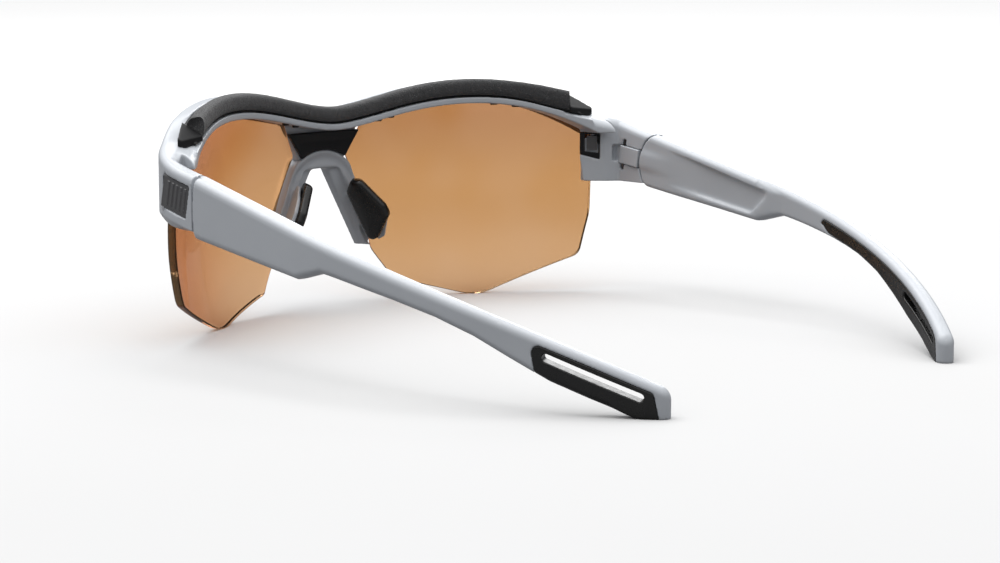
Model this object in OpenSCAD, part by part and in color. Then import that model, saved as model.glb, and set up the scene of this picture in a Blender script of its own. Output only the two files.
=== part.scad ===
// Sports sunglasses: a wrapped half-rim front, two lenses, a sweat bar, a nose bridge with soft pads,
// two lens locks, and temples that fold on one pin and tilt in three steps on another.
// X runs to the wearer's left, Y to the temple tips and Z up. The part stands on its lenses and tips.

/* [Front] */
// Half of the overall width, to the temples' outer faces
half_w = 68; // [66:0.5:72]
// Length of an end piece from the lens seat to the split between front and temples
end_len = 11.9; // [11.5:0.1:12.5]
// Radius in plan of the corner between the brow and the end piece
corner_r = 18; // [15:0.5:20]
// Depth of the brow bar above its ledge
brow_t = 3.5; // [3:0.1:4]
// Wall in front of the lens groove
front_wall = 0.6; // [0.5:0.05:0.9]
// Wall behind the lens groove
rear_wall = 1.1; // [0.9:0.1:1.3]
// Height of the rim's lower edge above the table at the middle
rim_mid_z = 39.9; // [39.4:0.1:40.4]
// Height of the rim's lower edge at its peak
rim_peak_z = 44.5; // [44:0.1:45]
// Height of the rim's lower edge at the outer end
rim_end_z = 37.7; // [37.2:0.1:38.2]
// Height of the rim below the ledge that carries the sweat bar
ledge_h = 1.4; // [1.3:0.1:1.8]
// Height of the end piece's flat underside
end_low_z = 25.9; // [25:0.1:26.5]

/* [Lenses] */
// Radius of a lens's front surface
lens_base_r = 87.8; // [86:0.2:90]
// Thickness of a lens
lens_t = 1.7; // [1.5:0.1:1.9]
// Height of the middle of a lens's curve above the table
lens_mid_z = 22.5; // [22:0.1:23]
// Turn of a lens's own axis away from straight ahead
lens_turn = 25; // [24:0.5:26]
// Depth of a lens in the rim's groove
lens_in = 0.7; // [0.5:0.1:0.8]
// Gap between a lens and its groove
lens_gap = 0.1; // [0.05:0.05:0.15]

/* [Sweat bar] */
// Height of the foam's top above the table at the middle
foam_mid_z = 45.2; // [45:0.1:46]
// Height of the foam's top at its peak
foam_peak_z = 50.1; // [49.5:0.1:51]
// Height of the foam's top at its outer end
foam_end_z = 46.2; // [45.8:0.1:46.8]
// Thickness of the foam
foam_t = 3.6; // [3:0.1:4]
// Thickness of the carrier behind the foam
carrier_t = 1; // [0.8:0.1:1.2]
// Distance of the foam's end from the temple's outer face
foam_end_in = 12.4; // [12:0.1:14]
// Distance of the carrier's tip from the temple's outer face
cap_end_in = 8.4; // [8:0.1:9]

/* [Bridge] */
// Distance by which the nose bridge stands out before the brow
bridge_out = 1.5; // [1.2:0.1:2.2]
// Depth of the nose bridge's legs
bridge_t = 4; // [3.6:0.1:4.2]
// Height of the nose arch's inner top
arch_in_z = 31; // [30.5:0.1:31.5]
// Thickness of the arch at its top
arch_t = 4.2; // [3.8:0.1:4.4]
// Height of the legs' lower ends
leg_low_z = 12.6; // [12:0.1:13.5]
// Thickness of the bridge cover
cover_t = 1; // [0.8:0.1:1.2]
// Thickness of a nose pad
pad_t = 2.4; // [2:0.1:2.8]

/* [Hinge] */
// Height of the tilt axis above the table
tilt_z = 30.3; // [30:0.1:30.8]
// Distance of the tilt axis behind the split
tilt_y = 5.7; // [5.5:0.1:6]
// Radius of the round seam between end piece and temple
seam_r = 8.2; // [8:0.1:8.4]
// Distance from the fold pin to the tilt pin
tongue_len = 13.65; // [13.2:0.05:13.8]
// Lean of the fold pin, top towards the tips
fold_lean = 8; // [6:0.5:10]
// Height of the hinge tongue
tongue_h = 4.1; // [3.8:0.1:4.4]
// Thickness of the hinge tongue
tongue_t = 1.46; // [1.3:0.02:1.5]
// Thickness of the temple's cheek on the inner side of the tongue
cheek_t = 0.7; // [0.6:0.05:0.8]
// Radius of the fold pin
fold_pin_r = 0.55; // [0.5:0.05:0.6]
// Radius of the tilt pin
tilt_pin_r = 0.8; // [0.7:0.05:0.9]
// Furthest tilt of a temple, up or down, one step of the detent
tilt_step = 4; // [3:0.5:4]

/* [Lens lock] */
// Length of the ribbed panel behind its pin
lock_len = 8.6; // [8:0.1:9]
// Height of the ribbed panel
lock_h = 6.4; // [6:0.1:6.8]
// Thickness of the ribbed panel
lock_t = 0.9; // [0.8:0.05:1]
// Number of ribs on the panel
lock_ribs = 5; // [3:1:6]
// Radius of the lock's pin
lock_pin_r = 0.35; // [0.3:0.05:0.4]

/* [Temples] */
// Length of a temple from the split to its tip, along its middle
arm_len = 109.3; // [106:0.1:112]
// Length of the straight run before the bend
straight_len = 32.5; // [31:0.5:34]
// Radius of the bend behind it, at the middle of the arm
bend_r = 108; // [104:1:112]
// Thickness of a temple at the hinge
root_t = 4.6; // [4.4:0.1:5]
// Thickness of a temple in the bend
ear_t = 3.6; // [3.2:0.1:3.8]
// Height of a temple's top above the table at the split
arm_top_z = 37.4; // [37:0.1:37.8]
// Height of a temple's top above the table at its tip
tip_top_z = 5.14; // [5:0.05:5.6]
// Depth of the recess in a temple's inner side
recess_d = 0.9; // [0.6:0.1:1]

/* [Ear grips] */
// Start of the grip's inner strip, along the temple
strip_start = 52; // [50:0.5:54]
// Length of the window that the grip fills
window_len = 22.4; // [21:0.1:23]
// Distance of the window from the temple's tip
window_back = 2.9; // [2.7:0.1:3.5]
// Thickness of the inner strip
strip_t = 1.1; // [0.9:0.1:1.3]
// Height of the rail left above the window
rail_h = 1.7; // [1.5:0.1:1.9]
// Width of the slot through the grip
slot_w = 1.5; // [1.3:0.1:1.7]

/* [Hidden] */
$fn = 96;

// Colours
shell_c = [0.72, 0.75, 0.79];
black_c = [0.09, 0.09, 0.10];
rubber_c = [0.13, 0.13, 0.13];
foam_c = [0.27, 0.27, 0.28];
lens_c = [0.80, 0.52, 0.27, 0.7];
steel_c = [0.62, 0.63, 0.65];

// Clearances: a running pin in its bore, parts that slide past, parts that seat, and a cutter's overrun
run_gap = 0.03;
slide_gap = 0.12;
seat_gap = 0.05;
seam_gap = 0.25;
over = 1;

// Plan of the wrapped front: every curve of the frame shares one upright axis
brow_over = 0.344;
rim_t = 7.66;
seat_in = 4.8;
wrap_r = lens_base_r + brow_over;
seat_r = wrap_r - seat_in;
seat_x = half_w - 7.9;
wrap_y = sqrt(seat_r * seat_r - seat_x * seat_x) - end_len;
front_depth = wrap_r - wrap_y;
bridge_front = front_depth + bridge_out;
function on_wrap(r, a) = [r * sin(a), wrap_y - r * cos(a)];
rim_in_r = wrap_r - rim_t;
step_r = wrap_r - brow_t;
foam_end_x = half_w - foam_end_in;
cap_end_x = half_w - cap_end_in;
carrier_in_r = step_r - carrier_t;
foam_in_r = carrier_in_r - foam_t;
corner_x = half_w - corner_r;
corner_y = wrap_y - sqrt(pow(wrap_r - corner_r, 2) - pow(corner_x, 2));
corner_turn = atan2(corner_x, wrap_y - corner_y);

// Heights of the rim and the foam across the front
rise_power = 0.85;
rim_drop_power = 2.3;
rim_end_x = half_w - 10.7;
foam_drop_x = half_w - 12.1;
peak_x = half_w / 2;
function bow_line(x, mid, peak, end, end_x, power) = abs(x) < peak_x
    ? mid + (peak - mid) * (1 - cos(180 * pow(abs(x) / peak_x, rise_power))) / 2
    : peak - (peak - end) * pow((abs(x) - peak_x) / (end_x - peak_x), power);
function rim_z(x) = bow_line(x, rim_mid_z, rim_peak_z, rim_end_z, rim_end_x, rim_drop_power);
// The rim's front lip is as high as its rear one at the same turn, not at the same distance
lip_r = wrap_r - 2;
lip_lift = 0.8;
groove_roof = 0.25;
function lip_z(x) = min(rim_z(x * rim_in_r / lip_r), rim_z(x) + lip_lift);
function foam_z(x) = bow_line(x, foam_mid_z, foam_peak_z, foam_end_z, foam_drop_x, 2);
foam_proud = 1;
function brow_z(x) = foam_z(x) - foam_proud;
ledge_rise = 3.3;
ledge_run = 11.6;
function ledge_z(x) = rim_z(x) + ledge_h
    + ledge_rise * pow(max(0, (abs(x) - cap_end_x + ledge_run) / ledge_run), 2.2);
across_n = 29;
across = [for (i = [-across_n:across_n]) i * (half_w - 10) / across_n];

// Temple: plan along its length, then its top and its height
bend_x = half_w - ear_t / 2 - bend_r;
function bend_angle(s) = max(0, s - straight_len) / bend_r * 180 / PI;
function along_y(s) = s < straight_len ? s : straight_len + bend_r * sin(bend_angle(s));
arm_droop = 0.000374;
droop_power = 2.25;
droop_start = 37;
arm_fall = (arm_top_z - tip_top_z - arm_droop * pow(arm_len - droop_start, droop_power)) / arm_len;
function arm_top(s) = arm_top_z - arm_fall * s - arm_droop * pow(max(0, s - droop_start), droop_power);
tip_angle = bend_angle(arm_len - ear_t / 2);
tip_y = straight_len + bend_r * sin(tip_angle) + ear_t / 2;
root_in_x = half_w - root_t;
panel_end = 32.8;
// Height of the temple at shares of its length
arm_stations = [[0.362, 5.9], [0.393, 5.6], [0.439, 5.3], [0.521, 4.8], [0.6, 4.6], [0.671, 5.1], [0.738, 6.4],
    [0.803, 7.55], [0.868, 7.7], [0.932, 7.6]];
window_end = arm_len - window_back;
window_start = window_end - window_len;
root_h = 12.3;
panel_end_h = 9.3;

// The part's origin: the middle of its length, on the table
mid_y = (tip_y - bridge_front) / 2;
module placed() {
    translate([0, -mid_y, 0]) children();
}
module right_side() {
    mirror([1, 0, 0]) children();
}
module both_sides() {
    children();
    right_side() children();
}

// Small helpers for outlines
function arc(centre, radius, from, to, steps) =
    [for (i = [0:steps]) centre + radius * [cos(from + (to - from) * i / steps), sin(from + (to - from) * i / steps)]];
function unit(v) = v / norm(v);
function turn_at(a, b, c) = acos(unit(b - a) * unit(c - b));
function fillet_centre(a, b, c, r) = b + unit(unit(a - b) + unit(c - b)) * r / cos(turn_at(a, b, c) / 2);
function fillet(a, b, c, r, steps) = let (
    centre = fillet_centre(a, b, c, r),
    reach = r * tan(turn_at(a, b, c) / 2),
    first = b + unit(a - b) * reach - centre,
    last = b + unit(c - b) * reach - centre,
    from = atan2(first.y, first.x),
    raw = atan2(last.y, last.x) - from,
    sweep = raw > 180 ? raw - 360 : raw < -180 ? raw + 360 : raw)
    arc(centre, r, from, from + sweep, steps);
// Rounds every corner [x, y, radius] of an outline
function rounded(corners, steps = 6) = [for (i = [0:len(corners) - 1]) let (
    n = len(corners),
    a = corners[(i + n - 1) % n],
    b = corners[i],
    c = corners[(i + 1) % n])
    each b.z > 0 ? fillet([a.x, a.y], [b.x, b.y], [c.x, c.y], b.z, steps) : [[b.x, b.y]]];
// Extrudes an outline drawn in X and Z along Y, from y0 to y1
module front_prism(outline, y0, y1) {
    translate([0, y1, 0]) rotate([90, 0, 0]) linear_extrude(y1 - y0) polygon(outline);
}
// Extrudes an outline drawn in Y and Z along X, from x0 to x1
module side_prism(outline, x0, x1) {
    translate([x0, 0, 0]) rotate([90, 0, 90]) linear_extrude(x1 - x0) polygon(outline);
}
module plan_ring(r_in, r_out, z0, z1) {
    translate([0, wrap_y, z0]) difference() {
        cylinder(r = r_out, h = z1 - z0, $fn = 360);
        translate([0, 0, -over]) cylinder(r = r_in, h = z1 - z0 + 2 * over, $fn = 360);
    }
}

// A lens is a piece of a sphere, set so that it leaves the front wall before its inner end and the
// rear wall before the lens seat
lens_inner_x = 12;
lens_seat_z = 34;
lens_rear_r = lens_base_r - lens_t;
function level_r(radius, z) = sqrt(radius * radius - (z - lens_mid_z) * (z - lens_mid_z));
// Centre of the circle of radius p_r about p and q_r about q, on the side of the wearer
function meet(p, p_r, q, q_r) = let (
    d = norm(q - p),
    a = (p_r * p_r - q_r * q_r + d * d) / (2 * d),
    u = (q - p) / d)
    p + a * u + sqrt(p_r * p_r - a * a) * [-u.y, u.x];
lens_axis = meet(
    [lens_inner_x, wrap_y - sqrt(wrap_r * wrap_r - lens_inner_x * lens_inner_x) + front_wall + lens_gap],
    level_r(lens_base_r, lip_z(lens_inner_x) + lens_in),
    [seat_x, -end_len], level_r(lens_rear_r, lens_seat_z) - rear_wall);
// Lens outline in its own frame, X across and Z up, seen from behind
function lens_x(x, z) = let (r = level_r(lens_rear_r, z)) r * sin(asin((x - lens_axis.x) / r) - lens_turn);
lens_top = [for (x = [lens_inner_x:3:rim_end_x])
    [lens_x(x, lip_z(x)), min(lip_z(x) + lens_in, rim_z(x) + ledge_h - groove_roof), 0]];
// The medial edge runs from a knee at the bridge past a waist to its foot beside the nose pad
edge_knee = [7.5, 34.1];
edge_waist = [13.2, 21.4];
edge_foot = [14.2, 11.6];
function lens_edge_x(z) = lookup(z, [[edge_foot.y, edge_foot.x], [edge_waist.y, edge_waist.x],
    [edge_knee.y, edge_knee.x], [lip_z(lens_inner_x) + lens_in, lens_inner_x]]);
lens_low_x = lens_x(0.544 * half_w, 0);
lens_low_r = 12;
lens_low_a = [lens_x(19, 4.5), 4.5];
lens_low_c = [lens_x(half_w - 10.6, 8.65), 8.65];
lens_outer_x = half_w - 8.05;
tab_top_z = 36.5;
tab_low_z = 30.5;
shoulder_z = 28;
side_z = 18.5;
lens_upper_x = lens_x(lens_outer_x, shoulder_z) - 0.5;
// Drop of the low corner that puts the rounded edge's lowest point on the table
function low_point(drop) =
    min([for (p = fillet(lens_low_c, [lens_low_x, -drop], lens_low_a, lens_low_r, 6)) p.y]);
low_drop = low_point(0) + low_point(low_point(0));
lens_low_drop = low_drop + low_point(low_drop);
lens_corners = concat(lens_top, [
    [lens_upper_x, tab_top_z, 1], [lens_upper_x, tab_low_z, 2],
    [lens_x(lens_outer_x, shoulder_z), shoulder_z, 2], [lens_x(lens_outer_x - 0.15, side_z), side_z, 15],
    [lens_low_c.x, lens_low_c.y, 3], [lens_low_x, -lens_low_drop, lens_low_r],
    [lens_low_a.x, lens_low_a.y, 1.5], [lens_x(edge_foot.x, edge_foot.y), edge_foot.y, 5],
    [lens_x(edge_waist.x, edge_waist.y), edge_waist.y, 12],
    [lens_x(edge_knee.x, edge_knee.y), edge_knee.y, 1.5]]);
lens_outline = rounded(lens_corners);
module lens_cutter(grow) {
    rotate([0, 0, lens_turn]) translate([0, -lens_base_r / 2, 0]) rotate([90, 0, 0])
        linear_extrude(lens_base_r) offset(delta = grow) polygon(lens_outline);
}
// The lens's curved shell inside its outline, grown all round by the given gap
module lens_solid(grow = 0) {
    translate(lens_axis) intersection() {
        translate([0, 0, lens_mid_z]) difference() {
            sphere(r = lens_base_r + grow, $fn = 180);
            sphere(r = lens_rear_r - grow, $fn = 180);
        }
        lens_cutter(grow);
    }
}
module lens() {
    color(lens_c) lens_solid();
}

// Top line of the end pieces, which the brow meets
lip_turn = 2;
end_slope = 0.2;
end_lift = 0.0058;
function end_top(y) = arm_top_z - end_slope * y + end_lift * y * y;

// Brow bar: a rim under a ledge, and a thinner wall before it with the front lip of the lens groove
rim_band = concat([for (x = across) [x, rim_z(x)]],
    [for (i = [len(across) - 1:-1:0]) [across[i], ledge_z(across[i])]]);
brow_end_gap = 0.1;
brow_end_x = wrap_r * sin(corner_turn - lip_turn) - brow_end_gap;
along_brow = [for (i = [-across_n:across_n]) i * brow_end_x / across_n];
brow_band = concat([for (x = along_brow) [x, lip_z(x)]],
    [for (i = [len(along_brow) - 1:-1:0]) [along_brow[i], brow_z(along_brow[i])]]);
// Side view that lets the brow's top down to the end pieces' top
brow_sink = 0.06;
brow_side = concat([[-front_depth - over, foam_peak_z + over], [-front_depth - over, 0], [0, 0]],
    [for (y = [0:-4:-16]) [y, end_top(y) - brow_sink]], [[-22, end_top(-22) + 1.5], [-24, foam_peak_z + over]]);
// Root of the ledge beside the end piece, under and beyond the sweat bar's cap
root_low_z = 37.3;
root_from_x = half_w - 10.3;
root_band = concat([[brow_end_x, root_low_z], [root_from_x, root_low_z]],
    [for (x = [root_from_x:0.4:cap_end_x + 0.1]) [x, ledge_z(x)]],
    [[cap_end_x + 0.15, foam_peak_z], [brow_end_x, foam_peak_z]]);
module brow_bar() {
    intersection() {
        plan_ring(rim_in_r, step_r + seat_gap, 0, foam_peak_z + over);
        union() {
            front_prism(rim_band, -front_depth - over, 0);
            intersection() {
                both_sides() front_prism(root_band, -front_depth - over, 0);
                side_prism(brow_side, -half_w, half_w);
            }
        }
    }
    intersection() {
        plan_ring(step_r, wrap_r, 0, foam_peak_z + over);
        front_prism(brow_band, -front_depth - over, 0);
        side_prism(brow_side, -half_w, half_w);
    }
}

// End piece: plan, side view, and the face beside the lens on which its seat lies
seat_turn = asin(seat_x / seat_r) + 1.56;
seat_edge = [seat_x, -end_len];
seat_face_a = [-1, 4.8];
function seat_pt(a, d) = seat_edge + a * [-cos(seat_turn), -sin(seat_turn)] + d * [-sin(seat_turn), cos(seat_turn)];
outer_skin_x = root_in_x + cheek_t + tongue_t + 2 * slide_gap;
outer_seam_y = 1.2;
end_plan = concat(
    [[root_in_x, tilt_y], [root_in_x, -9.2], seat_pt(seat_face_a[0], 0), seat_pt(seat_face_a[1], 0)],
    [on_wrap(wrap_r, corner_turn - lip_turn)],
    arc([corner_x, corner_y], corner_r, corner_turn - 90, 0, 10),
    [[half_w, tilt_y]]);
end_front_y = -24;
end_tip_z = arm_top_z - 0.2;
end_side = concat(
    [for (y = [end_front_y:2:-2]) [y, end_top(y)]],
    arc([tilt_y, tilt_z], seam_r + seam_gap, 180 - asin((end_tip_z - tilt_z) / (seam_r + seam_gap)),
        180 + asin((tilt_z - end_low_z) / (seam_r + seam_gap)), 18),
    [[end_front_y, end_low_z]]);
skin_side = concat(
    [for (y = [end_front_y:2:-2]) [y, end_top(y)]],
    [[outer_seam_y, end_top(outer_seam_y)], [outer_seam_y, end_low_z], [end_front_y, end_low_z]]);
// The frame of the seat's face, with X away from the temple and Y into the face
module at_seat() {
    translate([seat_edge.x, seat_edge.y, 0]) rotate([0, 0, 180 + seat_turn]) children();
}
chin_a = [4.75, 4];
chin_z = 31;
module end_piece() {
    difference() {
        intersection() {
            linear_extrude(foam_peak_z) polygon(end_plan);
            union() {
                side_prism(end_side, seat_edge.x - 10, half_w + over);
                side_prism(skin_side, outer_skin_x + slide_gap, half_w + over);
            }
        }
        at_seat() front_prism([[chin_a[0], chin_z], [chin_a[1], end_low_z], [chin_a[1], end_low_z - over],
            [chin_a[0] + over, end_low_z - over], [chin_a[0] + over, chin_z]], -over, rear_wall);
    }
}

// Hinge: the fold pin's frame, whose Z runs along the pin and whose Y runs along the tongue
fold_x = root_in_x + 0.75;
fold_y = tilt_y - tongue_len * cos(fold_lean);
fold_z = tilt_z + tongue_len * sin(fold_lean);
knuckle_r = 1.35;
fold_pin_half = 3.5;
module at_fold() {
    translate([fold_x, fold_y, fold_z]) rotate([-fold_lean, 0, 0]) children();
}
module at_tilt() {
    translate([0, tilt_y, tilt_z]) rotate([-fold_lean, 0, 0]) children();
}
tongue_in_x = root_in_x + cheek_t + slide_gap;
tongue_slot_h = tongue_h + 2 * slide_gap;
slot_front = 3;
slot_recess = 0.5;
groove_w = 2 * fold_pin_r + 2 * run_gap;
module hinge_cut() {
    at_fold() {
        cylinder(r = fold_pin_r + run_gap, h = 2 * fold_pin_half + 2 * seat_gap, center = true);
        translate([-fold_x + root_in_x - over, -groove_w / 2, -fold_pin_half - seat_gap])
            cube([fold_x - root_in_x + over, groove_w, 2 * fold_pin_half + 2 * seat_gap]);
        cylinder(r = knuckle_r + slide_gap, h = tongue_slot_h, center = true);
        translate([-fold_x + root_in_x - over, 0, -tongue_slot_h / 2])
            cube([outer_skin_x + slide_gap - root_in_x + over, tongue_len, tongue_slot_h]);
        translate([-fold_x + root_in_x - over, -slot_front, -tongue_slot_h / 2 + 0.3])
            cube([over + slot_recess, slot_front, tongue_slot_h - 0.6]);
    }
}

// Lens lock: a ribbed panel on a lens lock pin, whose arm ends in a nose behind the lens
lock_turn = 3;
lock_lean = 12;
lock_x = half_w - 1.15;
lock_y = -8.6;
lock_z = 33.7;
lock_pin_half = lock_h / 2 + 0.9;
barrel_r = 0.6;
lock_out = 0.55;
nose_z = [33.1, 36.45];
lock_arm_z = [34.9, 36.4];
module at_lock() {
    translate([lock_x, lock_y, lock_z]) rotate([-lock_lean, 0, 0]) rotate([0, 0, -lock_turn]) children();
}
// The panel's outline in its own frame, grown all round by the given gap
module lock_panel(grow) {
    translate([lock_out - lock_t - grow, -grow, -lock_h / 2 - grow])
        cube([lock_t + grow + (grow > 0 ? 2 * over : 0), lock_len + 2 * grow, lock_h + 2 * grow]);
    cylinder(r = barrel_r + grow, h = lock_h + 2 * grow, center = true);
}
nose_a = [0.75, 3.2];
nose_d = [-0.45, -0.05];
nose_mid_d = (nose_d[0] + nose_d[1]) / 2;
web_a = [0.8, 1.3];
arm_d = [-2.6, -1.8];
lock_arm_start = [lock_x, lock_y + ((lock_arm_z[0] + lock_arm_z[1]) / 2 - lock_z) * tan(lock_lean)];
module lens_lock() {
    color(black_c) {
        difference() {
            at_lock() {
                lock_panel(0);
                for (i = [0:lock_ribs - 1])
                    translate([lock_out - 0.1, lock_len * (i + 1.2) / (lock_ribs + 1), 0])
                        cube([0.6, 0.7, lock_h - 1.6], center = true);
            }
            at_lock() cylinder(r = lock_pin_r + run_gap, h = 2 * lock_pin_half, center = true);
        }
        difference() {
            translate([0, 0, lock_arm_z[0]]) linear_extrude(lock_arm_z[1] - lock_arm_z[0])
                polygon([lock_arm_start + [-0.1, -0.35], seat_pt(web_a[1], arm_d[0]), seat_pt(web_a[1], nose_mid_d),
                    seat_pt(web_a[0], nose_mid_d), seat_pt(web_a[0], arm_d[1]), lock_arm_start + [-0.55, 0.1]]);
            at_lock() cylinder(r = lock_pin_r + run_gap, h = 2 * lock_pin_half, center = true);
        }
        translate([0, 0, nose_z[0]]) linear_extrude(nose_z[1] - nose_z[0])
            polygon([seat_pt(nose_a[0], nose_d[0]), seat_pt(nose_a[0], nose_d[1]),
                seat_pt(nose_a[1], nose_d[1]), seat_pt(nose_a[1], nose_d[0])]);
    }
}
module lens_lock_pin() {
    color(steel_c) at_lock() cylinder(r = lock_pin_r, h = 2 * lock_pin_half - 2 * seat_gap, center = true);
}
// Seat: the black frame round the lock's nose, flush in the end piece behind the lens
seat_top_z = 37.2;
seat_low_z = [31, 32.2];
seat_a = [0.2, 4.8];
seat_win_a = [0.5, 3.65];
seat_win_z = [32.5, 36.8];
seat_t = 0.35;
module seat_plate(grow, y0, y1) {
    at_seat() front_prism([[seat_a[0] - grow, seat_low_z[0] - grow], [seat_a[1] + grow, seat_low_z[1] - grow],
        [seat_a[1] + grow, seat_top_z + grow], [seat_a[0] - grow, seat_top_z + grow]], y0, y1);
}
module lens_seat() {
    color(black_c) difference() {
        seat_plate(0, 0, seat_t);
        at_seat() front_prism([[seat_win_a[0], seat_win_z[0]], [seat_win_a[1], seat_win_z[0] + 0.3],
            [seat_win_a[1], seat_win_z[1]], [seat_win_a[0], seat_win_z[1]]], -over, seat_t + over);
    }
}
module lock_cut() {
    at_lock() {
        lock_panel(slide_gap);
        cylinder(r = lock_pin_r + run_gap, h = 2 * lock_pin_half, center = true);
    }
    translate([0, 0, lock_arm_z[0] - 0.3]) linear_extrude(lock_arm_z[1] - lock_arm_z[0] + 0.6)
        polygon([lock_arm_start + [0.4, -0.7], seat_pt(web_a[1] + 0.25, arm_d[0] - 0.25), seat_pt(web_a[1] + 0.25, 0),
            seat_pt(seat_win_a[0], 0), seat_pt(seat_win_a[0], -0.6), lock_arm_start + [-1.1, 0.6]]);
    seat_plate(seat_gap, -over, seat_t + 0.3);
}

// Bridge: a block of the front between the lenses, its rear cover, and the nose bridge below
arch_out_z = arch_in_z + arch_t;
arch_out_r = 11.3;
arch_centre_z = arch_out_z - arch_out_r;
edge_gap = 0.45;
function bridge_edge(z) = lens_edge_x(z) - edge_gap;
block_top_z = 41.5;
cover_front_y = -front_depth + 1.8;
cover_top_z = 39.3;
block_low_a = 36;
arch_half_a = 45;
cover_half_a = 32;
function arch_arc(grow, from, to, steps) = arc([0, arch_centre_z], arch_out_r + grow, from, to, steps);
module bridge_block() {
    front_prism(concat(
        [[-bridge_edge(block_top_z), block_top_z], [-bridge_edge(edge_knee.y), edge_knee.y]],
        arch_arc(seat_gap, 90 + block_low_a, 90 - block_low_a, 12),
        [[bridge_edge(edge_knee.y), edge_knee.y], [bridge_edge(block_top_z), block_top_z]]),
        -bridge_front + 0.6, cover_front_y - seat_gap);
}
module bridge_cover() {
    color(black_c) front_prism(concat(
        [[bridge_edge(cover_top_z), cover_top_z], [-bridge_edge(cover_top_z), cover_top_z]],
        arch_arc(seat_gap, 90 + cover_half_a, 90 - cover_half_a, 12)), cover_front_y, cover_front_y + cover_t);
}
leg_slope = 0.55;
leg_front_x = 3.2;
leg_ref_z = 28.7;
function leg_x(z) = leg_front_x + (leg_ref_z - z) * leg_slope;
rear_top_x = 5.2;
rear_front_x = 5.9;
rear_slope = 0.4;
function rear_x(z) = rear_front_x + (leg_ref_z - z) * rear_slope;
bridge_outer = concat(arch_arc(0, 90 - arch_half_a, 90 + arch_half_a, 14),
    [[-bridge_edge(edge_waist.y), edge_waist.y], [-bridge_edge(leg_low_z), leg_low_z],
        [bridge_edge(leg_low_z), leg_low_z], [bridge_edge(edge_waist.y), edge_waist.y]]);
nose_opening = rounded([[-2, arch_in_z, 1.2], [2, arch_in_z, 1.2], [leg_front_x, leg_ref_z, 2],
    [leg_x(leg_low_z - over), leg_low_z - over, 0], [-leg_x(leg_low_z - over), leg_low_z - over, 0],
    [-leg_front_x, leg_ref_z, 2]]);
rear_opening = rounded([[-rear_top_x, arch_in_z, 1.6], [rear_top_x, arch_in_z, 1.6], [rear_front_x, leg_ref_z, 2],
    [rear_x(leg_low_z - over), leg_low_z - over, 0], [-rear_x(leg_low_z - over), leg_low_z - over, 0],
    [-rear_front_x, leg_ref_z, 2]]);
bridge_rear_y = -bridge_front + bridge_t;
module nose_bridge() {
    color(shell_c) {
        difference() {
            front_prism(bridge_outer, -bridge_front, bridge_rear_y);
            front_prism(nose_opening, -bridge_front - over, bridge_rear_y + over);
            front_prism(rear_opening, bridge_rear_y - 1.6, bridge_rear_y + over);
            both_sides() at_pad() side_prism(pad_notch, -over, pad_t + seat_gap);
        }
        both_sides() pad_carrier();
    }
}

// Nose pads: each in a frame with X away from the nose, Y to the face and Z up the pad
pad_centre = [10.1, 6.85 - front_depth, 19.5];
pad_yaw = 27;
pad_flare = 24;
pad_roll = 15.4;
pad_outline = rounded([[-3.8, -5.2, 1.5], [-2.8, -6.1, 1.2], [-1.2, -5.8, 1.2], [3.8, -1, 1.4], [3.8, 1.6, 1.4],
    [0.7, 8.9, 1.2], [-1.4, 9.6, 1], [-3.8, 7, 1.5]]);
carrier_outline = [[-3.2, -5.6], [-2.2, -6.9], [-0.6, -6.5], [2.9, -1.2], [2.9, 1.4], [0.2, 7.9], [-1.4, 8.6], [-3.2, 6.6]];
strut_z = [-2.2, 6.2];
pad_notch = [[-5, -7], [5, -7], [5, 2], [0.9, 10], [-5, 10]];
module at_pad() {
    translate(pad_centre) rotate([0, 0, -pad_yaw]) rotate([0, -pad_flare, 0]) rotate([pad_roll, 0, 0]) children();
}
module nose_pad() {
    color(rubber_c) at_pad() side_prism(pad_outline, 0, pad_t);
}
strut_reach = 5.9;
module pad_carrier() {
    at_pad() {
        side_prism(carrier_outline, pad_t + seat_gap, pad_t + seat_gap + 0.9);
        translate([pad_t - 0.7, -strut_reach, strut_z[0]]) cube([1.65, strut_reach - 4, strut_z[1] - strut_z[0]]);
        translate([pad_t + seat_gap, -4.2, strut_z[0]]) cube([0.9, 2, strut_z[1] - strut_z[0]]);
    }
}

// Sweat bar: a carrier clipped to the brow's ledge, and foam on its inner side
flange_t = 0.35;
flange_in = 0.6;
hook_turns = [8.4, 10.7, 28.7, 32.3];
hook_w = 1.7;
hook_t = 0.8;
hook_in = 0.9;
hook_low = 0.35;
hook_root = 0.25;
function floor_z(x) = ledge_z(x) + seat_gap;
along_foam = [for (i = [-across_n:across_n]) i * foam_end_x / across_n];
flange_band = concat([for (x = along_foam) [x, floor_z(x)]],
    [for (i = [len(along_foam) - 1:-1:0]) [along_foam[i], floor_z(along_foam[i]) + flange_t]]);
wall_band = concat([for (x = along_foam) [x, floor_z(x)]],
    [for (i = [len(along_foam) - 1:-1:0]) [along_foam[i], brow_z(along_foam[i]) - 0.3]]);
cap_tip_t = 0.9;
cap_top = foam_z(foam_end_x) - 0.2;
cap_root_x = foam_end_x - 3.6;
cap_lean = [-27.7, 28.8];
cap_band = concat([for (i = [0:8]) let (x = cap_root_x + i * (cap_end_x - cap_root_x) / 8) [x, floor_z(x)]],
    [[cap_end_x, cap_top], [cap_root_x, cap_top]]);
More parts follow.
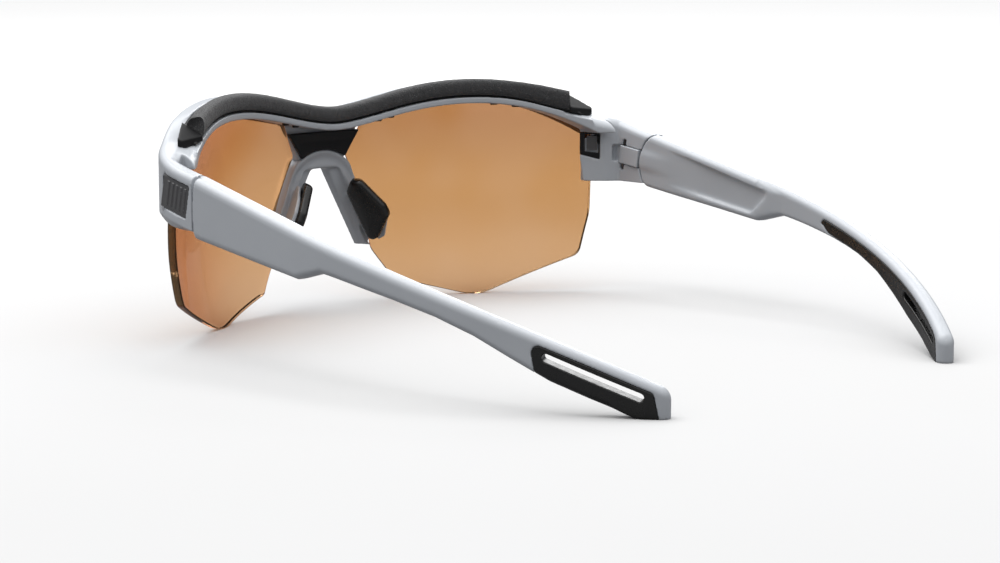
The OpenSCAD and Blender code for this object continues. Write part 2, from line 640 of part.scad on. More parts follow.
module end_cap() {
    foam_a = asin((foam_end_x - 0.6) / carrier_in_r);
    tip_a = asin(cap_end_x / step_r);
    difference() {
        intersection() {
            plan_ring(foam_in_r, step_r - seat_gap, 0, foam_peak_z);
            linear_extrude(foam_peak_z) polygon([on_wrap(foam_in_r + 0.3, foam_a), on_wrap(step_r + over, foam_a),
                on_wrap(step_r + over, tip_a), on_wrap(step_r - cap_tip_t, tip_a),
                on_wrap(foam_in_r + 0.3, foam_a + 0.4)]);
            front_prism(cap_band, -front_depth, 0);
        }
        translate([on_wrap(step_r, foam_a).x, on_wrap(step_r, foam_a).y, cap_top])
            rotate([0, 0, foam_a]) rotate([cap_lean[0], cap_lean[1], 0]) translate([-20, -20, 0]) cube([40, 40, 20]);
    }
}
module hooks(grow, low) {
    for (a = hook_turns) let (x = rim_in_r * sin(a))
        translate([0, wrap_y, rim_z(x) - low]) rotate([0, 0, a])
            translate([-hook_w / 2 - grow, -rim_in_r - hook_in - hook_t - grow, 0])
                cube([hook_w + 2 * grow, hook_t + 2 * grow, ledge_h + low + hook_root]);
}
module sweat_bar_carrier() {
    color(black_c) difference() {
        union() {
            intersection() {
                plan_ring(rim_in_r + flange_in, step_r - seat_gap, 0, foam_peak_z);
                front_prism(flange_band, -front_depth, 0);
            }
            intersection() {
                plan_ring(carrier_in_r, step_r - seat_gap, 0, foam_peak_z);
                front_prism(wall_band, -front_depth, 0);
            }
            both_sides() {
                end_cap();
                hooks(0, hook_low);
            }
        }
        both_sides() end_piece();
    }
}
foam_sides = 14;
foam_crown = 0.62;
foam_n = 40;
foam_gap = 0.2;
module sweat_bar_foam() {
    stations = [for (i = [0:foam_n]) (2 * i / foam_n - 1) * (foam_end_x - 0.7)];
    n = len(stations);
    mid_r = (foam_in_r + carrier_in_r - seat_gap) / 2;
    half_r = (carrier_in_r - seat_gap - foam_in_r) / 2;
    ring = [for (x = stations) let (a = asin(x / carrier_in_r))
        [for (j = [0:foam_sides - 1]) let (
            t = 360 * (j + 0.5) / foam_sides,
            r = mid_r + half_r * sign(cos(t)) * pow(abs(cos(t)), foam_crown),
            low = floor_z(r * sin(a)) + flange_t + foam_gap,
            high = foam_z(r * sin(a)),
            z = (low + high) / 2 + (high - low) / 2 * sign(sin(t)) * pow(abs(sin(t)), foam_crown))
            [r * sin(a), wrap_y - r * cos(a), z]]];
    points = [for (r = ring) each r];
    faces = concat(
        [for (i = [0:n - 2], j = [0:foam_sides - 1]) let (k = (j + 1) % foam_sides)
            each [[i * foam_sides + j, i * foam_sides + k, (i + 1) * foam_sides + k],
                [i * foam_sides + j, (i + 1) * foam_sides + k, (i + 1) * foam_sides + j]]],
        [[for (j = [foam_sides - 1:-1:0]) j], [for (j = [0:foam_sides - 1]) (n - 1) * foam_sides + j]]);
    color(foam_c) polyhedron(points, faces);
}

// Front frame
module front_frame() {
    color(shell_c) difference() {
        union() {
            brow_bar();
            bridge_block();
            both_sides() end_piece();
        }
        both_sides() {
            lens_solid(lens_gap);
            hinge_cut();
            lock_cut();
            hooks(seat_gap, over);
        }
    }
}

// Hinge pieces
disc_r = 3.1;
tail_len = 7.6;
tail_h = 2.4;
notch_r = 0.22;
module hinge_tongue() {
    front_in_x = root_in_x - 0.5;
    front_end = tongue_len - seam_r - seam_gap - slide_gap;
    color(shell_c) difference() {
        union() {
            at_fold() {
                cylinder(r = knuckle_r, h = tongue_h, center = true);
                translate([front_in_x - fold_x, 0, -tongue_h / 2])
                    cube([tongue_in_x + tongue_t - front_in_x, front_end, tongue_h]);
                translate([tongue_in_x - fold_x, 0, -tongue_h / 2]) cube([tongue_t, tongue_len, tongue_h]);
                translate([tongue_in_x - fold_x, tongue_len, -tail_h / 2]) cube([tongue_t, tail_len, tail_h]);
            }
            at_tilt() translate([tongue_in_x, 0, 0]) rotate([0, 90, 0]) cylinder(r = disc_r, h = tongue_t);
        }
        at_fold() cylinder(r = fold_pin_r + run_gap, h = tongue_h + 2 * over, center = true);
        at_tilt() {
            translate([tongue_in_x - over, 0, 0]) rotate([0, 90, 0])
                cylinder(r = tilt_pin_r + run_gap, h = tongue_t + 2 * over);
            for (a = [-1:1]) rotate([a * tilt_step, 0, 0])
                translate([tongue_in_x - over, tail_len, 0]) rotate([0, 90, 0])
                    cylinder(r = notch_r, h = tongue_t + 2 * over, $fn = 24);
        }
    }
}
module fold_pin() {
    color(steel_c) at_fold() cylinder(r = fold_pin_r, h = 2 * fold_pin_half, center = true);
}
tilt_pin_in = 0.25;
tilt_pin_out = 0.9;
module tilt_pin() {
    color(steel_c) translate([root_in_x + tilt_pin_in, tilt_y, tilt_z]) rotate([0, 90, 0])
        cylinder(r = tilt_pin_r, h = root_t - tilt_pin_out - tilt_pin_in - seat_gap);
}
leaf_t = 0.25;
leaf_h = 4.6;
leaf_y = tail_len + 0.3;
module detent_leaf() {
    color(steel_c) at_tilt() {
        translate([tongue_in_x, leaf_y, -leaf_h / 2]) cube([tongue_t, leaf_t, leaf_h]);
        translate([tongue_in_x, leaf_y, 0]) rotate([0, 90, 0]) cylinder(r = notch_r, h = tongue_t, $fn = 24);
    }
}

// Temple
sample_step = 3;
tip_round = 1.2;
bottom_stations = [for (p = arm_stations) let (s = p[0] * arm_len) [along_y(s), arm_top(s) - p[1]]];
arm_side = concat(
    [for (s = [3:sample_step:arm_len - 4]) [along_y(s), arm_top(s)]],
    [[tip_y - 0.6, arm_top(arm_len - 1) - 0.2], [tip_y + over, arm_top(arm_len) - tip_round], [tip_y + over, 0],
        [along_y(arm_len - 4), 0]],
    [for (i = [len(bottom_stations) - 1:-1:0]) bottom_stations[i]],
    [[along_y(panel_end), arm_top(panel_end) - panel_end_h]],
    arc([tilt_y, tilt_z], seam_r, 180 + asin((tilt_z - arm_top_z + root_h) / seam_r),
        180 - asin((arm_top(1) - tilt_z) / seam_r), 18));
module bend_ring(r_in, r_out) {
    translate([bend_x, straight_len, 0]) intersection() {
        difference() {
            cylinder(r = r_out, h = arm_top_z, $fn = 360);
            translate([0, 0, -over]) cylinder(r = r_in, h = arm_top_z + 2 * over, $fn = 360);
        }
        linear_extrude(arm_top_z) polygon([[0, 0], [2 * bend_r, 0], [2 * bend_r, 2 * bend_r * tan(tip_angle / 2)],
            2 * bend_r * [cos(tip_angle), sin(tip_angle)]]);
    }
}
function in_bend(r, a) = [bend_x + r * cos(a), straight_len + r * sin(a)];
module arm_band() {
    waist_a = bend_angle(arm_stations[0][0] * arm_len);
    linear_extrude(arm_top_z + over) polygon([[root_in_x, -4], [half_w, -4], [half_w, straight_len],
        in_bend(bend_r + ear_t / 2, waist_a), in_bend(bend_r - ear_t / 2, waist_a), [root_in_x, panel_end]]);
    bend_ring(bend_r - ear_t / 2, bend_r + ear_t / 2);
    translate([bend_x, straight_len, 0] + bend_r * [cos(tip_angle), sin(tip_angle), 0])
        cylinder(r = ear_t / 2, h = arm_top_z);
}
module arm_solid() {
    intersection() {
        side_prism(arm_side, 0, half_w + over);
        arm_band();
    }
}
// Window: an outline in a frame set square to the middle of the grip
window_mid = (window_start + window_end) / 2;
window_angle = bend_angle(window_mid);
window_half = (window_end - window_start) / 2;
module at_window() {
    translate([bend_x, straight_len, 0] + bend_r * [cos(window_angle), sin(window_angle), 0])
        rotate([0, 0, window_angle]) children();
}
function rail_z(u) = arm_top(window_mid + u) - rail_h;
window_side = rounded([[-window_half, rail_z(-window_half), 1.3], [0, rail_z(0), 0],
    [window_half, rail_z(window_half), 1.2], [window_half + 1.2, -over, 0], [-window_half + 2.4, -over, 0]]);
slot_ends = [-window_half + 3, window_half - 2.4];
slot_drop = 2.5;
module grip_slot() {
    at_window() for (i = [0:0]) let (
        a = [slot_ends[0], rail_z(slot_ends[0]) - slot_drop + slot_w / 2],
        b = [slot_ends[1], rail_z(slot_ends[1]) - slot_drop + slot_w / 2],
        turn = atan2(b.y - a.y, b.x - a.x)) {
        side_prism(concat(arc(a, slot_w / 2, 90 + turn, 270 + turn, 8), arc(b, slot_w / 2, turn - 90, turn + 90, 8)),
            -ear_t, ear_t);
    }
}
strip_drop = 1.9;
strip_h = 2.4;
strip_run = window_start - 7 - strip_start;
strip_stations = [for (p = [[0.04, strip_h - 1], [0.1, strip_h], [0.4, 2.7], [0.72, 3.6], [1, 9]])
    [strip_start + p[0] * strip_run, p[1]]];
strip_side = concat(
    [[along_y(strip_start), arm_top(strip_start) - strip_drop - strip_h / 2]],
    [for (s = [strip_start + 1:sample_step:window_end - 1]) [along_y(s), arm_top(s) - strip_drop]],
    [[along_y(window_end - 1), -over], [along_y(window_start + 4), -over]],
    [for (i = [len(strip_stations) - 1:-1:0]) let (p = strip_stations[i])
        [along_y(p[0]), arm_top(p[0]) - strip_drop - p[1]]]);
// The rubber's body: the inner strip and the block that fills the window
module grip_body(grow) {
    intersection() {
        side_prism(strip_side, 0, half_w);
        bend_ring(bend_r - ear_t / 2 - grow, bend_r - ear_t / 2 + strip_t);
    }
    intersection() {
        at_window() side_prism(window_side, -ear_t, ear_t);
        bend_ring(bend_r - ear_t / 2 - grow, bend_r + ear_t / 2 + grow);
    }
}
module ear_grip() {
    color(rubber_c) difference() {
        intersection() {
            grip_body(0);
            side_prism(arm_side, 0, half_w + over);
        }
        grip_slot();
    }
}
recess_root = [6, 26.2, 34.3];
recess_tip = [36, 26.6];
recess_heel = [31.2, 21.8];
recess_outline = rounded([[recess_root[0], recess_root[2], 1.2], [recess_tip.x, recess_tip.y, 0.8],
    [recess_heel.x, recess_heel.y, 1.2], [recess_root[0], recess_root[1], 1.2]]);
recess_y = [6.5, 19];
// The recess starts flush and deepens towards the tips
module recess_cut() {
    intersection() {
        side_prism(recess_outline, root_in_x - over, root_in_x + recess_d);
        linear_extrude(arm_top_z) polygon([[root_in_x - over, recess_y[0]], [root_in_x, recess_y[0]],
            [root_in_x + recess_d, recess_y[1]], [root_in_x + recess_d, waist_y], [root_in_x - over, waist_y]]);
    }
}
waist_y = 40;
fan_front = seam_r + over;
function fan_half(reach, half) = half + reach * tan(tilt_step) + slide_gap;
module temple() {
    color(shell_c) difference() {
        arm_solid();
        side_prism([[-4, 0], [outer_seam_y + seam_gap + 30 * tan(tilt_step + 0.5), tilt_z - 30],
            [outer_seam_y + seam_gap, tilt_z], [outer_seam_y + seam_gap + 10 * tan(tilt_step + 0.5), tilt_z + 10],
            [-4, tilt_z + 10]], outer_skin_x, half_w + over);
        recess_cut();
        at_tilt() {
            side_prism([[-fan_front, -fan_half(fan_front, tongue_h / 2)], [0, -fan_half(0, tongue_h / 2)],
                [0, fan_half(0, tongue_h / 2)], [-fan_front, fan_half(fan_front, tongue_h / 2)]],
                tongue_in_x - slide_gap, outer_skin_x);
            side_prism([[0, -fan_half(0, tail_h / 2)], [tail_len, -fan_half(tail_len, tail_h / 2)],
                [tail_len, fan_half(tail_len, tail_h / 2)], [0, fan_half(0, tail_h / 2)]],
                tongue_in_x - slide_gap, outer_skin_x);
            translate([tongue_in_x - slide_gap, 0, 0]) rotate([0, 90, 0])
                cylinder(r = disc_r + slide_gap, h = tongue_t + 2 * slide_gap);
            translate([tongue_in_x - slide_gap, tail_len - 0.2, -leaf_h / 2 - seat_gap])
                cube([tongue_t + 2 * slide_gap, 0.5 + leaf_t + seat_gap, leaf_h + 2 * seat_gap]);
        }
        translate([root_in_x + tilt_pin_in - seat_gap, tilt_y, tilt_z]) rotate([0, 90, 0])
            cylinder(r = tilt_pin_r + run_gap, h = root_t - tilt_pin_out - tilt_pin_in + seat_gap);
        grip_body(over);
    }
}

module side(right) {
    placed() mirror([right ? 1 : 0, 0, 0]) children();
}
placed() front_frame();
placed() bridge_cover();
placed() nose_bridge();
side(false) nose_pad();  // nose_pad_left
side(true) nose_pad();  // nose_pad_right
side(false) lens();  // lens_left
side(true) lens();  // lens_right
placed() sweat_bar_carrier();
placed() sweat_bar_foam();
side(false) lens_lock();  // lens_lock_left
side(true) lens_lock();  // lens_lock_right
side(false) lens_lock_pin();  // lens_lock_pin_left
side(true) lens_lock_pin();  // lens_lock_pin_right
side(false) lens_seat();  // lens_seat_left
side(true) lens_seat();  // lens_seat_right
side(false) hinge_tongue();  // hinge_tongue_left
side(true) hinge_tongue();  // hinge_tongue_right
side(false) fold_pin();  // fold_pin_left
side(true) fold_pin();  // fold_pin_right
side(false) tilt_pin();  // tilt_pin_left
side(true) tilt_pin();  // tilt_pin_right
side(false) detent_leaf();  // detent_leaf_left
side(true) detent_leaf();  // detent_leaf_right
side(false) temple();  // temple_left
side(true) temple();  // temple_right
side(false) ear_grip();  // ear_grip_left
side(true) ear_grip();  // ear_grip_right
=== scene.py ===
"""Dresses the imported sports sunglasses: soft-edged mouldings, foam, tinted lenses and a plain studio.

Shapes are worked out in millimetres in the drawing's own frame, where the split between front and
temples is at y = 0, and are handed over in metres in the row frame.
"""

import logging
import math
from dataclasses import dataclass
from enum import Enum
from typing import Callable, Sequence

import bmesh
import bpy
import numpy as np
from mathutils import Matrix, Vector, noise

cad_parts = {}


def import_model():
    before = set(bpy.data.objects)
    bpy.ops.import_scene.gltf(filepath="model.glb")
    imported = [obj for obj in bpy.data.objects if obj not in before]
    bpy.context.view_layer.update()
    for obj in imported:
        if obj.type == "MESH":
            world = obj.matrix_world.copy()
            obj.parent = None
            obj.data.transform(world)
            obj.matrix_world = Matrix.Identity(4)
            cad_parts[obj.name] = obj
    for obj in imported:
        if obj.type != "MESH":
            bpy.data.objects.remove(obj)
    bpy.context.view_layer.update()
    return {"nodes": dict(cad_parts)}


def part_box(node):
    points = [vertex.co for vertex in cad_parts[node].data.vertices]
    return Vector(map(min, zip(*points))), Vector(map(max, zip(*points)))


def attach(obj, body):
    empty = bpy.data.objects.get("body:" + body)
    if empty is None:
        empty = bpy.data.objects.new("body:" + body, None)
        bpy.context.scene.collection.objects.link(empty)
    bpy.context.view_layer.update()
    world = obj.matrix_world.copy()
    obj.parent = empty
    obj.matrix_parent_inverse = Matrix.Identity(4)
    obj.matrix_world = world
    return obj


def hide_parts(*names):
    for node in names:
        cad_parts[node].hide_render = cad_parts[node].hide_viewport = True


log = logging.getLogger("sunglasses")
MM = 0.001
SIDES = (("left", 1), ("right", -1))


class Slot(Enum):
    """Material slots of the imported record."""

    SHELL = "shell"
    BLACK = "black_plastic"
    RUBBER = "rubber"
    FOAM = "foam"
    LENS = "lens"


# Drawing


@dataclass(frozen=True)
class Drawing:
    """The drawing's main sizes, in millimetres, and the lines that follow from them."""

    half_w: float = 68.0
    end_len: float = 11.9
    bridge_out: float = 1.5
    corner_r: float = 18.0
    brow_over: float = 0.344
    brow_t: float = 3.5
    rim_t: float = 7.66
    front_wall: float = 0.6
    rear_wall: float = 1.1
    end_low_z: float = 25.9
    lens_r: float = 87.8
    lens_t: float = 1.7
    lens_mid_z: float = 22.5
    lens_turn: float = 25.0
    lens_in: float = 0.7
    lens_gap: float = 0.1
    lens_inner_x: float = 12.0
    peak_x: float = 34.0
    carrier_t: float = 1.0
    foam_t: float = 3.6
    foam_end_x: float = 55.6
    ledge_h: float = 1.4
    ledge_rise: float = 3.3
    ledge_run: float = 11.6
    cap_end_in: float = 8.4
    straight_len: float = 32.5
    bend_r: float = 108.0
    arm_len: float = 109.3
    root_t: float = 4.6
    ear_t: float = 3.6
    arm_top_z: float = 37.4
    panel_end: float = 32.8
    waist_y: float = 40.0
    arm_slope: float = 0.243
    arch_mid_z: float = 23.9
    hinge_lean: float = 8.0
    tilt_y: float = 5.7
    tilt_z: float = 30.3

    @property
    def wrap_r(self) -> float:
        """Radius of the front's outer face, seen from above."""
        return self.lens_r + self.brow_over

    @property
    def seat_x(self) -> float:
        """Place across the front where a lens ends at its seat."""
        return self.half_w - 7.9

    @property
    def seat_turn(self) -> float:
        """Angle of the slanted face beside the lens, in radians."""
        return math.asin(self.seat_x / (self.wrap_r - 4.8)) + math.radians(1.56)

    @property
    def wrap_y(self) -> float:
        """Place of the front's shared upright axis."""
        return math.sqrt((self.wrap_r - 4.8) ** 2 - self.seat_x ** 2) - self.end_len

    @property
    def front_depth(self) -> float:
        """Distance of the brow's middle before the split."""
        return self.wrap_r - self.wrap_y

    @property
    def bridge_front(self) -> float:
        """Distance of the nose bridge's front before the split."""
        return self.front_depth + self.bridge_out

    @property
    def lens_axis(self) -> tuple[float, float]:
        """Middle of the left lens's sphere, held by the front and rear walls.

        Returns:
            The middle, seen from above.
        """
        x = self.lens_inner_x
        p = np.array([x, self.wrap_y - math.sqrt(self.wrap_r ** 2 - x * x) + self.front_wall + self.lens_gap])
        q = np.array([self.seat_x, -self.end_len])
        p_r = self.level_r(self.lens_r, self.lip_z(x) + self.lens_in)
        q_r = self.level_r(self.lens_r - self.lens_t, 34.0) - self.rear_wall
        d = float(np.linalg.norm(q - p))
        a = (p_r ** 2 - q_r ** 2 + d * d) / (2 * d)
        u = (q - p) / d
        found = p + a * u + math.sqrt(p_r ** 2 - a * a) * np.array([-u[1], u[0]])
        return float(found[0]), float(found[1])

    @property
    def root_in_x(self) -> float:
        """Inner face of a temple at the hinge."""
        return self.half_w - self.root_t

    @property
    def bend_x(self) -> float:
        """Centre of the temple's bend, seen from above."""
        return self.half_w - self.ear_t / 2 - self.bend_r

    @property
    def tip_turn(self) -> float:
        """Angle of the bend at which the temple's round tip is centred, in radians."""
        return (self.arm_len - self.ear_t / 2 - self.straight_len) / self.bend_r

    def level_r(self, radius: float, z: float) -> float:
        """Radius of a lens surface at a height."""
        return math.sqrt(radius * radius - (z - self.lens_mid_z) ** 2)

    def bow(self, x: float, mid: float, peak: float, end: float, end_x: float, power: float) -> float:
        """Height of a brow line that rises from the middle to a peak and falls to the outer end.

        Args:
            x: Distance from the middle.
            mid: Height at the middle.
            peak: Height at the peak.
            end: Height at the outer end.
            end_x: Distance of the outer end.
            power: How late the line falls.

        Returns:
            The height at x.
        """
        x = abs(x)
        if x < self.peak_x:
            return mid + (peak - mid) * (1 - math.cos(math.pi * (x / self.peak_x) ** 0.85)) / 2
        return peak - (peak - end) * ((x - self.peak_x) / (end_x - self.peak_x)) ** power

    def rim_z(self, x: float) -> float:
        """Height of the rim's lower edge."""
        return self.bow(x, 39.9, 44.5, 37.7, self.half_w - 10.7, 2.3)

    def lip_z(self, x: float) -> float:
        """Height of the lower edge of the rim's front lip."""
        return min(self.rim_z(x * (self.wrap_r - self.rim_t) / (self.wrap_r - 2.0)), self.rim_z(x) + 0.8)

    def ledge_z(self, x: float) -> float:
        """Height of the ledge's top, which rises towards its ends."""
        share = max(0.0, (abs(x) - self.half_w + self.cap_end_in + self.ledge_run) / self.ledge_run)
        return self.rim_z(x) + self.ledge_h + self.ledge_rise * share ** 2.2

    def foam_z(self, x: float) -> float:
        """Height of the foam's top."""
        return self.bow(x, 45.2, 50.1, 46.2, self.half_w - 12.1, 2.0)

    def arm_top(self, s: float) -> float:
        """Height of a temple's top at a length from the split."""
        return self.arm_top_z - self.arm_slope * s - 0.000374 * max(0.0, s - 37.0) ** 2.25

    def arm_low(self, s: float) -> float:
        """Height of a temple's lower edge.

        Args:
            s: Length along the temple from the split.

        Returns:
            The height there.
        """
        share = (0.362, 0.393, 0.439, 0.521, 0.6, 0.671, 0.738, 0.803, 0.868, 0.932)
        tall = (5.9, 5.6, 5.3, 4.8, 4.6, 5.1, 6.4, 7.55, 7.7, 7.6)
        spots = [0.0, self.panel_end] + [q * self.arm_len for q in share]
        drops = [12.3, 9.3] + list(tall)
        return self.arm_top(s) - float(np.interp(s, spots, drops))

    def lens_x(self, x: float, z: float) -> float:
        """Place of a point of the lens across the lens's own frame, from its place across the front."""
        r = self.level_r(self.lens_r - self.lens_t, z)
        return r * math.sin(math.asin((x - self.lens_axis[0]) / r) - math.radians(self.lens_turn))


D = Drawing()
MID_Y = 0.0


def place_of_middle() -> float:
    """Distance of the row frame's middle behind the split, read from the nose bridge's front."""
    return -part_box("nose_bridge")[0].y / MM - D.bridge_front


# Workshop: meshes


Shape = Callable[[np.ndarray], np.ndarray]


def points_of(mesh: bpy.types.Mesh) -> np.ndarray:
    """Reads the vertices of a mesh.

    Args:
        mesh: The mesh.

    Returns:
        Their places, a row for each.
    """
    co = np.empty(len(mesh.vertices) * 3, np.float32)
    mesh.vertices.foreach_get("co", co)
    return co.reshape(-1, 3).astype(float)


def set_points(mesh: bpy.types.Mesh, points: np.ndarray) -> None:
    """Writes the vertices of a mesh."""
    mesh.vertices.foreach_set("co", points.astype(np.float32).ravel())
    mesh.update()


def rise(values: np.ndarray, start: float, length: float) -> np.ndarray:
    """Share from 0 to 1 that grows from a start over a length, or falls if the length is negative."""
    return np.clip((values - start) / length, 0, 1)


def round_drop(depth: np.ndarray, radius: float) -> np.ndarray:
    """Drop of a rounded edge at a distance inwards from its side face, as a share of its radius."""
    return 1 - np.sqrt(1 - rise(depth, radius, -radius) ** 2)


def mirrored(points: np.ndarray, side: int) -> np.ndarray:
    """Points turned over to the left side, or back again, for a piece of the given side."""
    return points * np.array([side, 1, 1])


class Blank:
    """A mesh on the bench, in millimetres of the drawing's frame."""

    def __init__(self, name: str, mesh: bpy.types.Mesh) -> None:
        """Puts a mesh on the bench.

        Args:
            name: Name of the piece that it becomes.
            mesh: The mesh.
        """
        self.name = name
        self.obj = bpy.data.objects.new(name, mesh)
        bpy.context.scene.collection.objects.link(self.obj)

    @classmethod
    def from_node(cls, name: str, node: bpy.types.Object) -> "Blank":
        """Copies a CAD node's mesh onto the bench.

        Args:
            name: Name of the new piece.
            node: The CAD node, which itself stays as it is.

        Returns:
            The blank, with its doubled vertices joined.
        """
        mesh = node.data.copy()
        mesh.materials.clear()
        set_points(mesh, points_of(mesh) / MM + np.array([0, MID_Y, 0]))
        bm = bmesh.new()
        bm.from_mesh(mesh)
        bmesh.ops.remove_doubles(bm, verts=bm.verts, dist=1e-3)
        bm.to_mesh(mesh)
        bm.free()
        return cls(name, mesh)

    @classmethod
    def from_rings(cls, name: str, rings: Sequence[np.ndarray], edge: Sequence[int] = ()) -> "Blank":
        """Skins a row of closed rings and fans its two ends shut.

        Args:
            name: Name of the new piece.
            rings: Closed rings of points, all of the same count.
            edge: Numbers of the bands between rings that take the second material.

        Returns:
            The blank.
        """
        n = len(rings[0])
        verts = [tuple(p) for ring in rings for p in ring]
        faces, marks = [], []
        for i in range(len(rings) - 1):
            for j in range(n):
                k = (j + 1) % n
                faces.append((i * n + j, i * n + k, (i + 1) * n + k, (i + 1) * n + j))
                marks.append(1 if i in edge else 0)
        for base, flip in ((0, True), ((len(rings) - 1) * n, False)):
            middle = np.mean(np.array(verts[base:base + n]), axis=0)
            verts.append(tuple(middle))
            top = len(verts) - 1
            for j in range(n):
                a, b = base + j, base + (j + 1) % n
                faces.append((top, b, a) if flip else (top, a, b))
                marks.append(0)
        mesh = bpy.data.meshes.new(name)
        mesh.from_pydata(verts, [], faces)
        mesh.polygons.foreach_set("material_index", marks)
        mesh.update()
        blank = cls(name, mesh)
        blank.face_outwards()
        return blank

    def face_outwards(self) -> None:
        """Turns every face outwards."""
        bm = bmesh.new()
        bm.from_mesh(self.obj.data)
        bmesh.ops.recalc_face_normals(bm, faces=bm.faces)
        bm.to_mesh(self.obj.data)
        bm.free()

    def apply(self) -> None:
        """Works the blank's modifiers into its mesh."""
        graph = bpy.context.evaluated_depsgraph_get()
        made = bpy.data.meshes.new_from_object(self.obj.evaluated_get(graph))
        self.obj.modifiers.clear()
        old, self.obj.data = self.obj.data, made
        bpy.data.meshes.remove(old)

    def recast(self, voxel: float) -> "Blank":
        """Casts the surface anew as an even mesh.

        Args:
            voxel: Size of its squares, in millimetres.

        Returns:
            The blank itself.
        """
        m = self.obj.modifiers.new("recast", "REMESH")
        m.mode, m.voxel_size, m.use_smooth_shade = "VOXEL", voxel, True
        self.apply()
        return self

    def ease(self, passes: int, factor: float = 0.5, where: Shape | None = None) -> "Blank":
        """Eases the edges of an even mesh.

        Args:
            passes: Number of passes; more of them round the edges more.
            factor: Strength of each pass.
            where: Gives each point a share from 0 to 1, if only some of them are eased.

        Returns:
            The blank itself.
        """
        m = self.obj.modifiers.new("ease", "SMOOTH")
        m.iterations, m.factor = passes, factor
        if where is not None:
            group = self.obj.vertex_groups.new(name="ease")
            share = where(points_of(self.obj.data))
            for level in range(1, 11):
                chosen = np.nonzero(np.round(share * 10) == level)[0]
                group.add([int(i) for i in chosen], level / 10, "REPLACE")
            m.vertex_group = group.name
        self.apply()
        self.obj.vertex_groups.clear()
        return self

    def form(self, shape: Shape) -> "Blank":
        """Moves every point as the shape says."""
        set_points(self.obj.data, shape(points_of(self.obj.data)))
        return self

    def paint(self, second: Shape) -> "Blank":
        """Gives the second material to some of the faces.

        Args:
            second: Picks them by their middles.

        Returns:
            The blank itself.
        """
        mesh = self.obj.data
        middles = np.empty(len(mesh.polygons) * 3, np.float32)
        mesh.polygons.foreach_get("center", middles)
        picked = second(middles.reshape(-1, 3).astype(float))
        mesh.polygons.foreach_set("material_index", picked.astype(np.int32))
        return self

    def done(self, body: str, slot: Slot, finish: Sequence[bpy.types.Material],
             stands_for: Sequence[str]) -> bpy.types.Object:
        """Takes the blank off the bench as a piece of the object.

        Args:
            body: CAD body that it moves with.
            slot: Material slot of the record; not used.
            finish: Its materials, in order.
            stands_for: CAD nodes that it replaces.

        Returns:
            The piece.
        """
        mesh = self.obj.data
        set_points(mesh, (points_of(mesh) - np.array([0, MID_Y, 0])) * MM)
        mesh.materials.clear()
        for m in finish:
            mesh.materials.append(m)
        mesh.polygons.foreach_set("use_smooth", [True] * len(mesh.polygons))
        mesh.update()
        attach(self.obj, body)
        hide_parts(*stands_for)
        log.info("piece %s: %d faces, rides on %s", self.name, len(mesh.polygons), body)
        return self.obj


def fillet(a: np.ndarray, b: np.ndarray, c: np.ndarray, r: float, steps: int = 8) -> list[np.ndarray]:
    """Points of the arc that rounds the corner b of an outline.

    Args:
        a: The corner before.
        b: The corner to round.
        c: The corner after.
        r: Radius of the rounding.
        steps: Number of steps along the arc.

    Returns:
        The arc's points, from the side of a to the side of c.
    """
    u, v = (a - b) / np.linalg.norm(a - b), (c - b) / np.linalg.norm(c - b)
    turn = math.acos(max(-1.0, min(1.0, float(-u @ v))))
    if turn < 1e-4 or r <= 0:
        return [b]
    middle = (u + v) / np.linalg.norm(u + v)
    centre = b + middle * r / math.cos(turn / 2)
    first, last = b + u * r * math.tan(turn / 2) - centre, b + v * r * math.tan(turn / 2) - centre
    start = math.atan2(first[1], first[0])
    sweep = (math.atan2(last[1], last[0]) - start + math.pi) % (2 * math.pi) - math.pi
    return [centre + r * np.array([math.cos(start + sweep * i / steps), math.sin(start + sweep * i / steps)])
            for i in range(steps + 1)]


def rounded(corners: Sequence[Sequence[float]]) -> np.ndarray:
    """Rounds the corners of an outline.

    Args:
        corners: Place and radius of each corner.

    Returns:
        The rounded outline's points.
    """
    xy = [np.array(c[:2], float) for c in corners]
    n = len(corners)
    found: list[np.ndarray] = []
    for i, c in enumerate(corners):
        found += fillet(xy[i - 1], xy[i], xy[(i + 1) % n], c[2] if len(c) > 2 else 0.0)
    return np.array(found)


def evenly(outline: np.ndarray, count: int) -> np.ndarray:
    """Spaces the points of a closed outline evenly along it.

    Args:
        outline: The outline's points.
        count: Number of points wanted.

    Returns:
        The new points.
    """
    closed = np.vstack([outline, outline[:1]])
    run = np.concatenate([[0], np.cumsum(np.linalg.norm(np.diff(closed, axis=0), axis=1))])
    at = np.linspace(0, run[-1], count, endpoint=False)
    return np.column_stack([np.interp(at, run, closed[:, i]) for i in (0, 1)])


def inset_rings(outline: np.ndarray, profile: Sequence[tuple[float, float, float]]) -> list[np.ndarray]:
    """Rings of an outline drawn in by steps, each at its own depth.

    Args:
        outline: Closed outline with even points.
        profile: For each ring the distance that it is drawn in, a scale about the middle, and its depth.

    Returns:
        The rings, as rows of two coordinates and the depth.
    """
    ahead, behind = np.roll(outline, -1, 0), np.roll(outline, 1, 0)
    along = ahead - behind
    normal = np.column_stack([along[:, 1], -along[:, 0]]) / np.linalg.norm(along, axis=1)[:, None]
    area = np.sum(outline[:, 0] * ahead[:, 1] - ahead[:, 0] * outline[:, 1]) / 2
    normal *= math.copysign(1, area)
    middle = outline.mean(0)
    rings = []
    for inset, scale, depth in profile:
        flat = middle + (outline - normal * inset - middle) * scale
        rings.append(np.column_stack([flat, np.full(len(flat), depth)]))
    return rings


def rounded_edge(radius: float, top: float, steps: int = 4) -> list[tuple[float, float, float]]:
    """Profile of an upper edge rounded from its side face to its top, for inset_rings."""
    return [(radius * (1 - math.cos(a)), 1.0, top - radius * (1 - math.sin(a)))
            for a in (math.pi / 2 * i / steps for i in range(steps + 1))]


# Workshop: materials


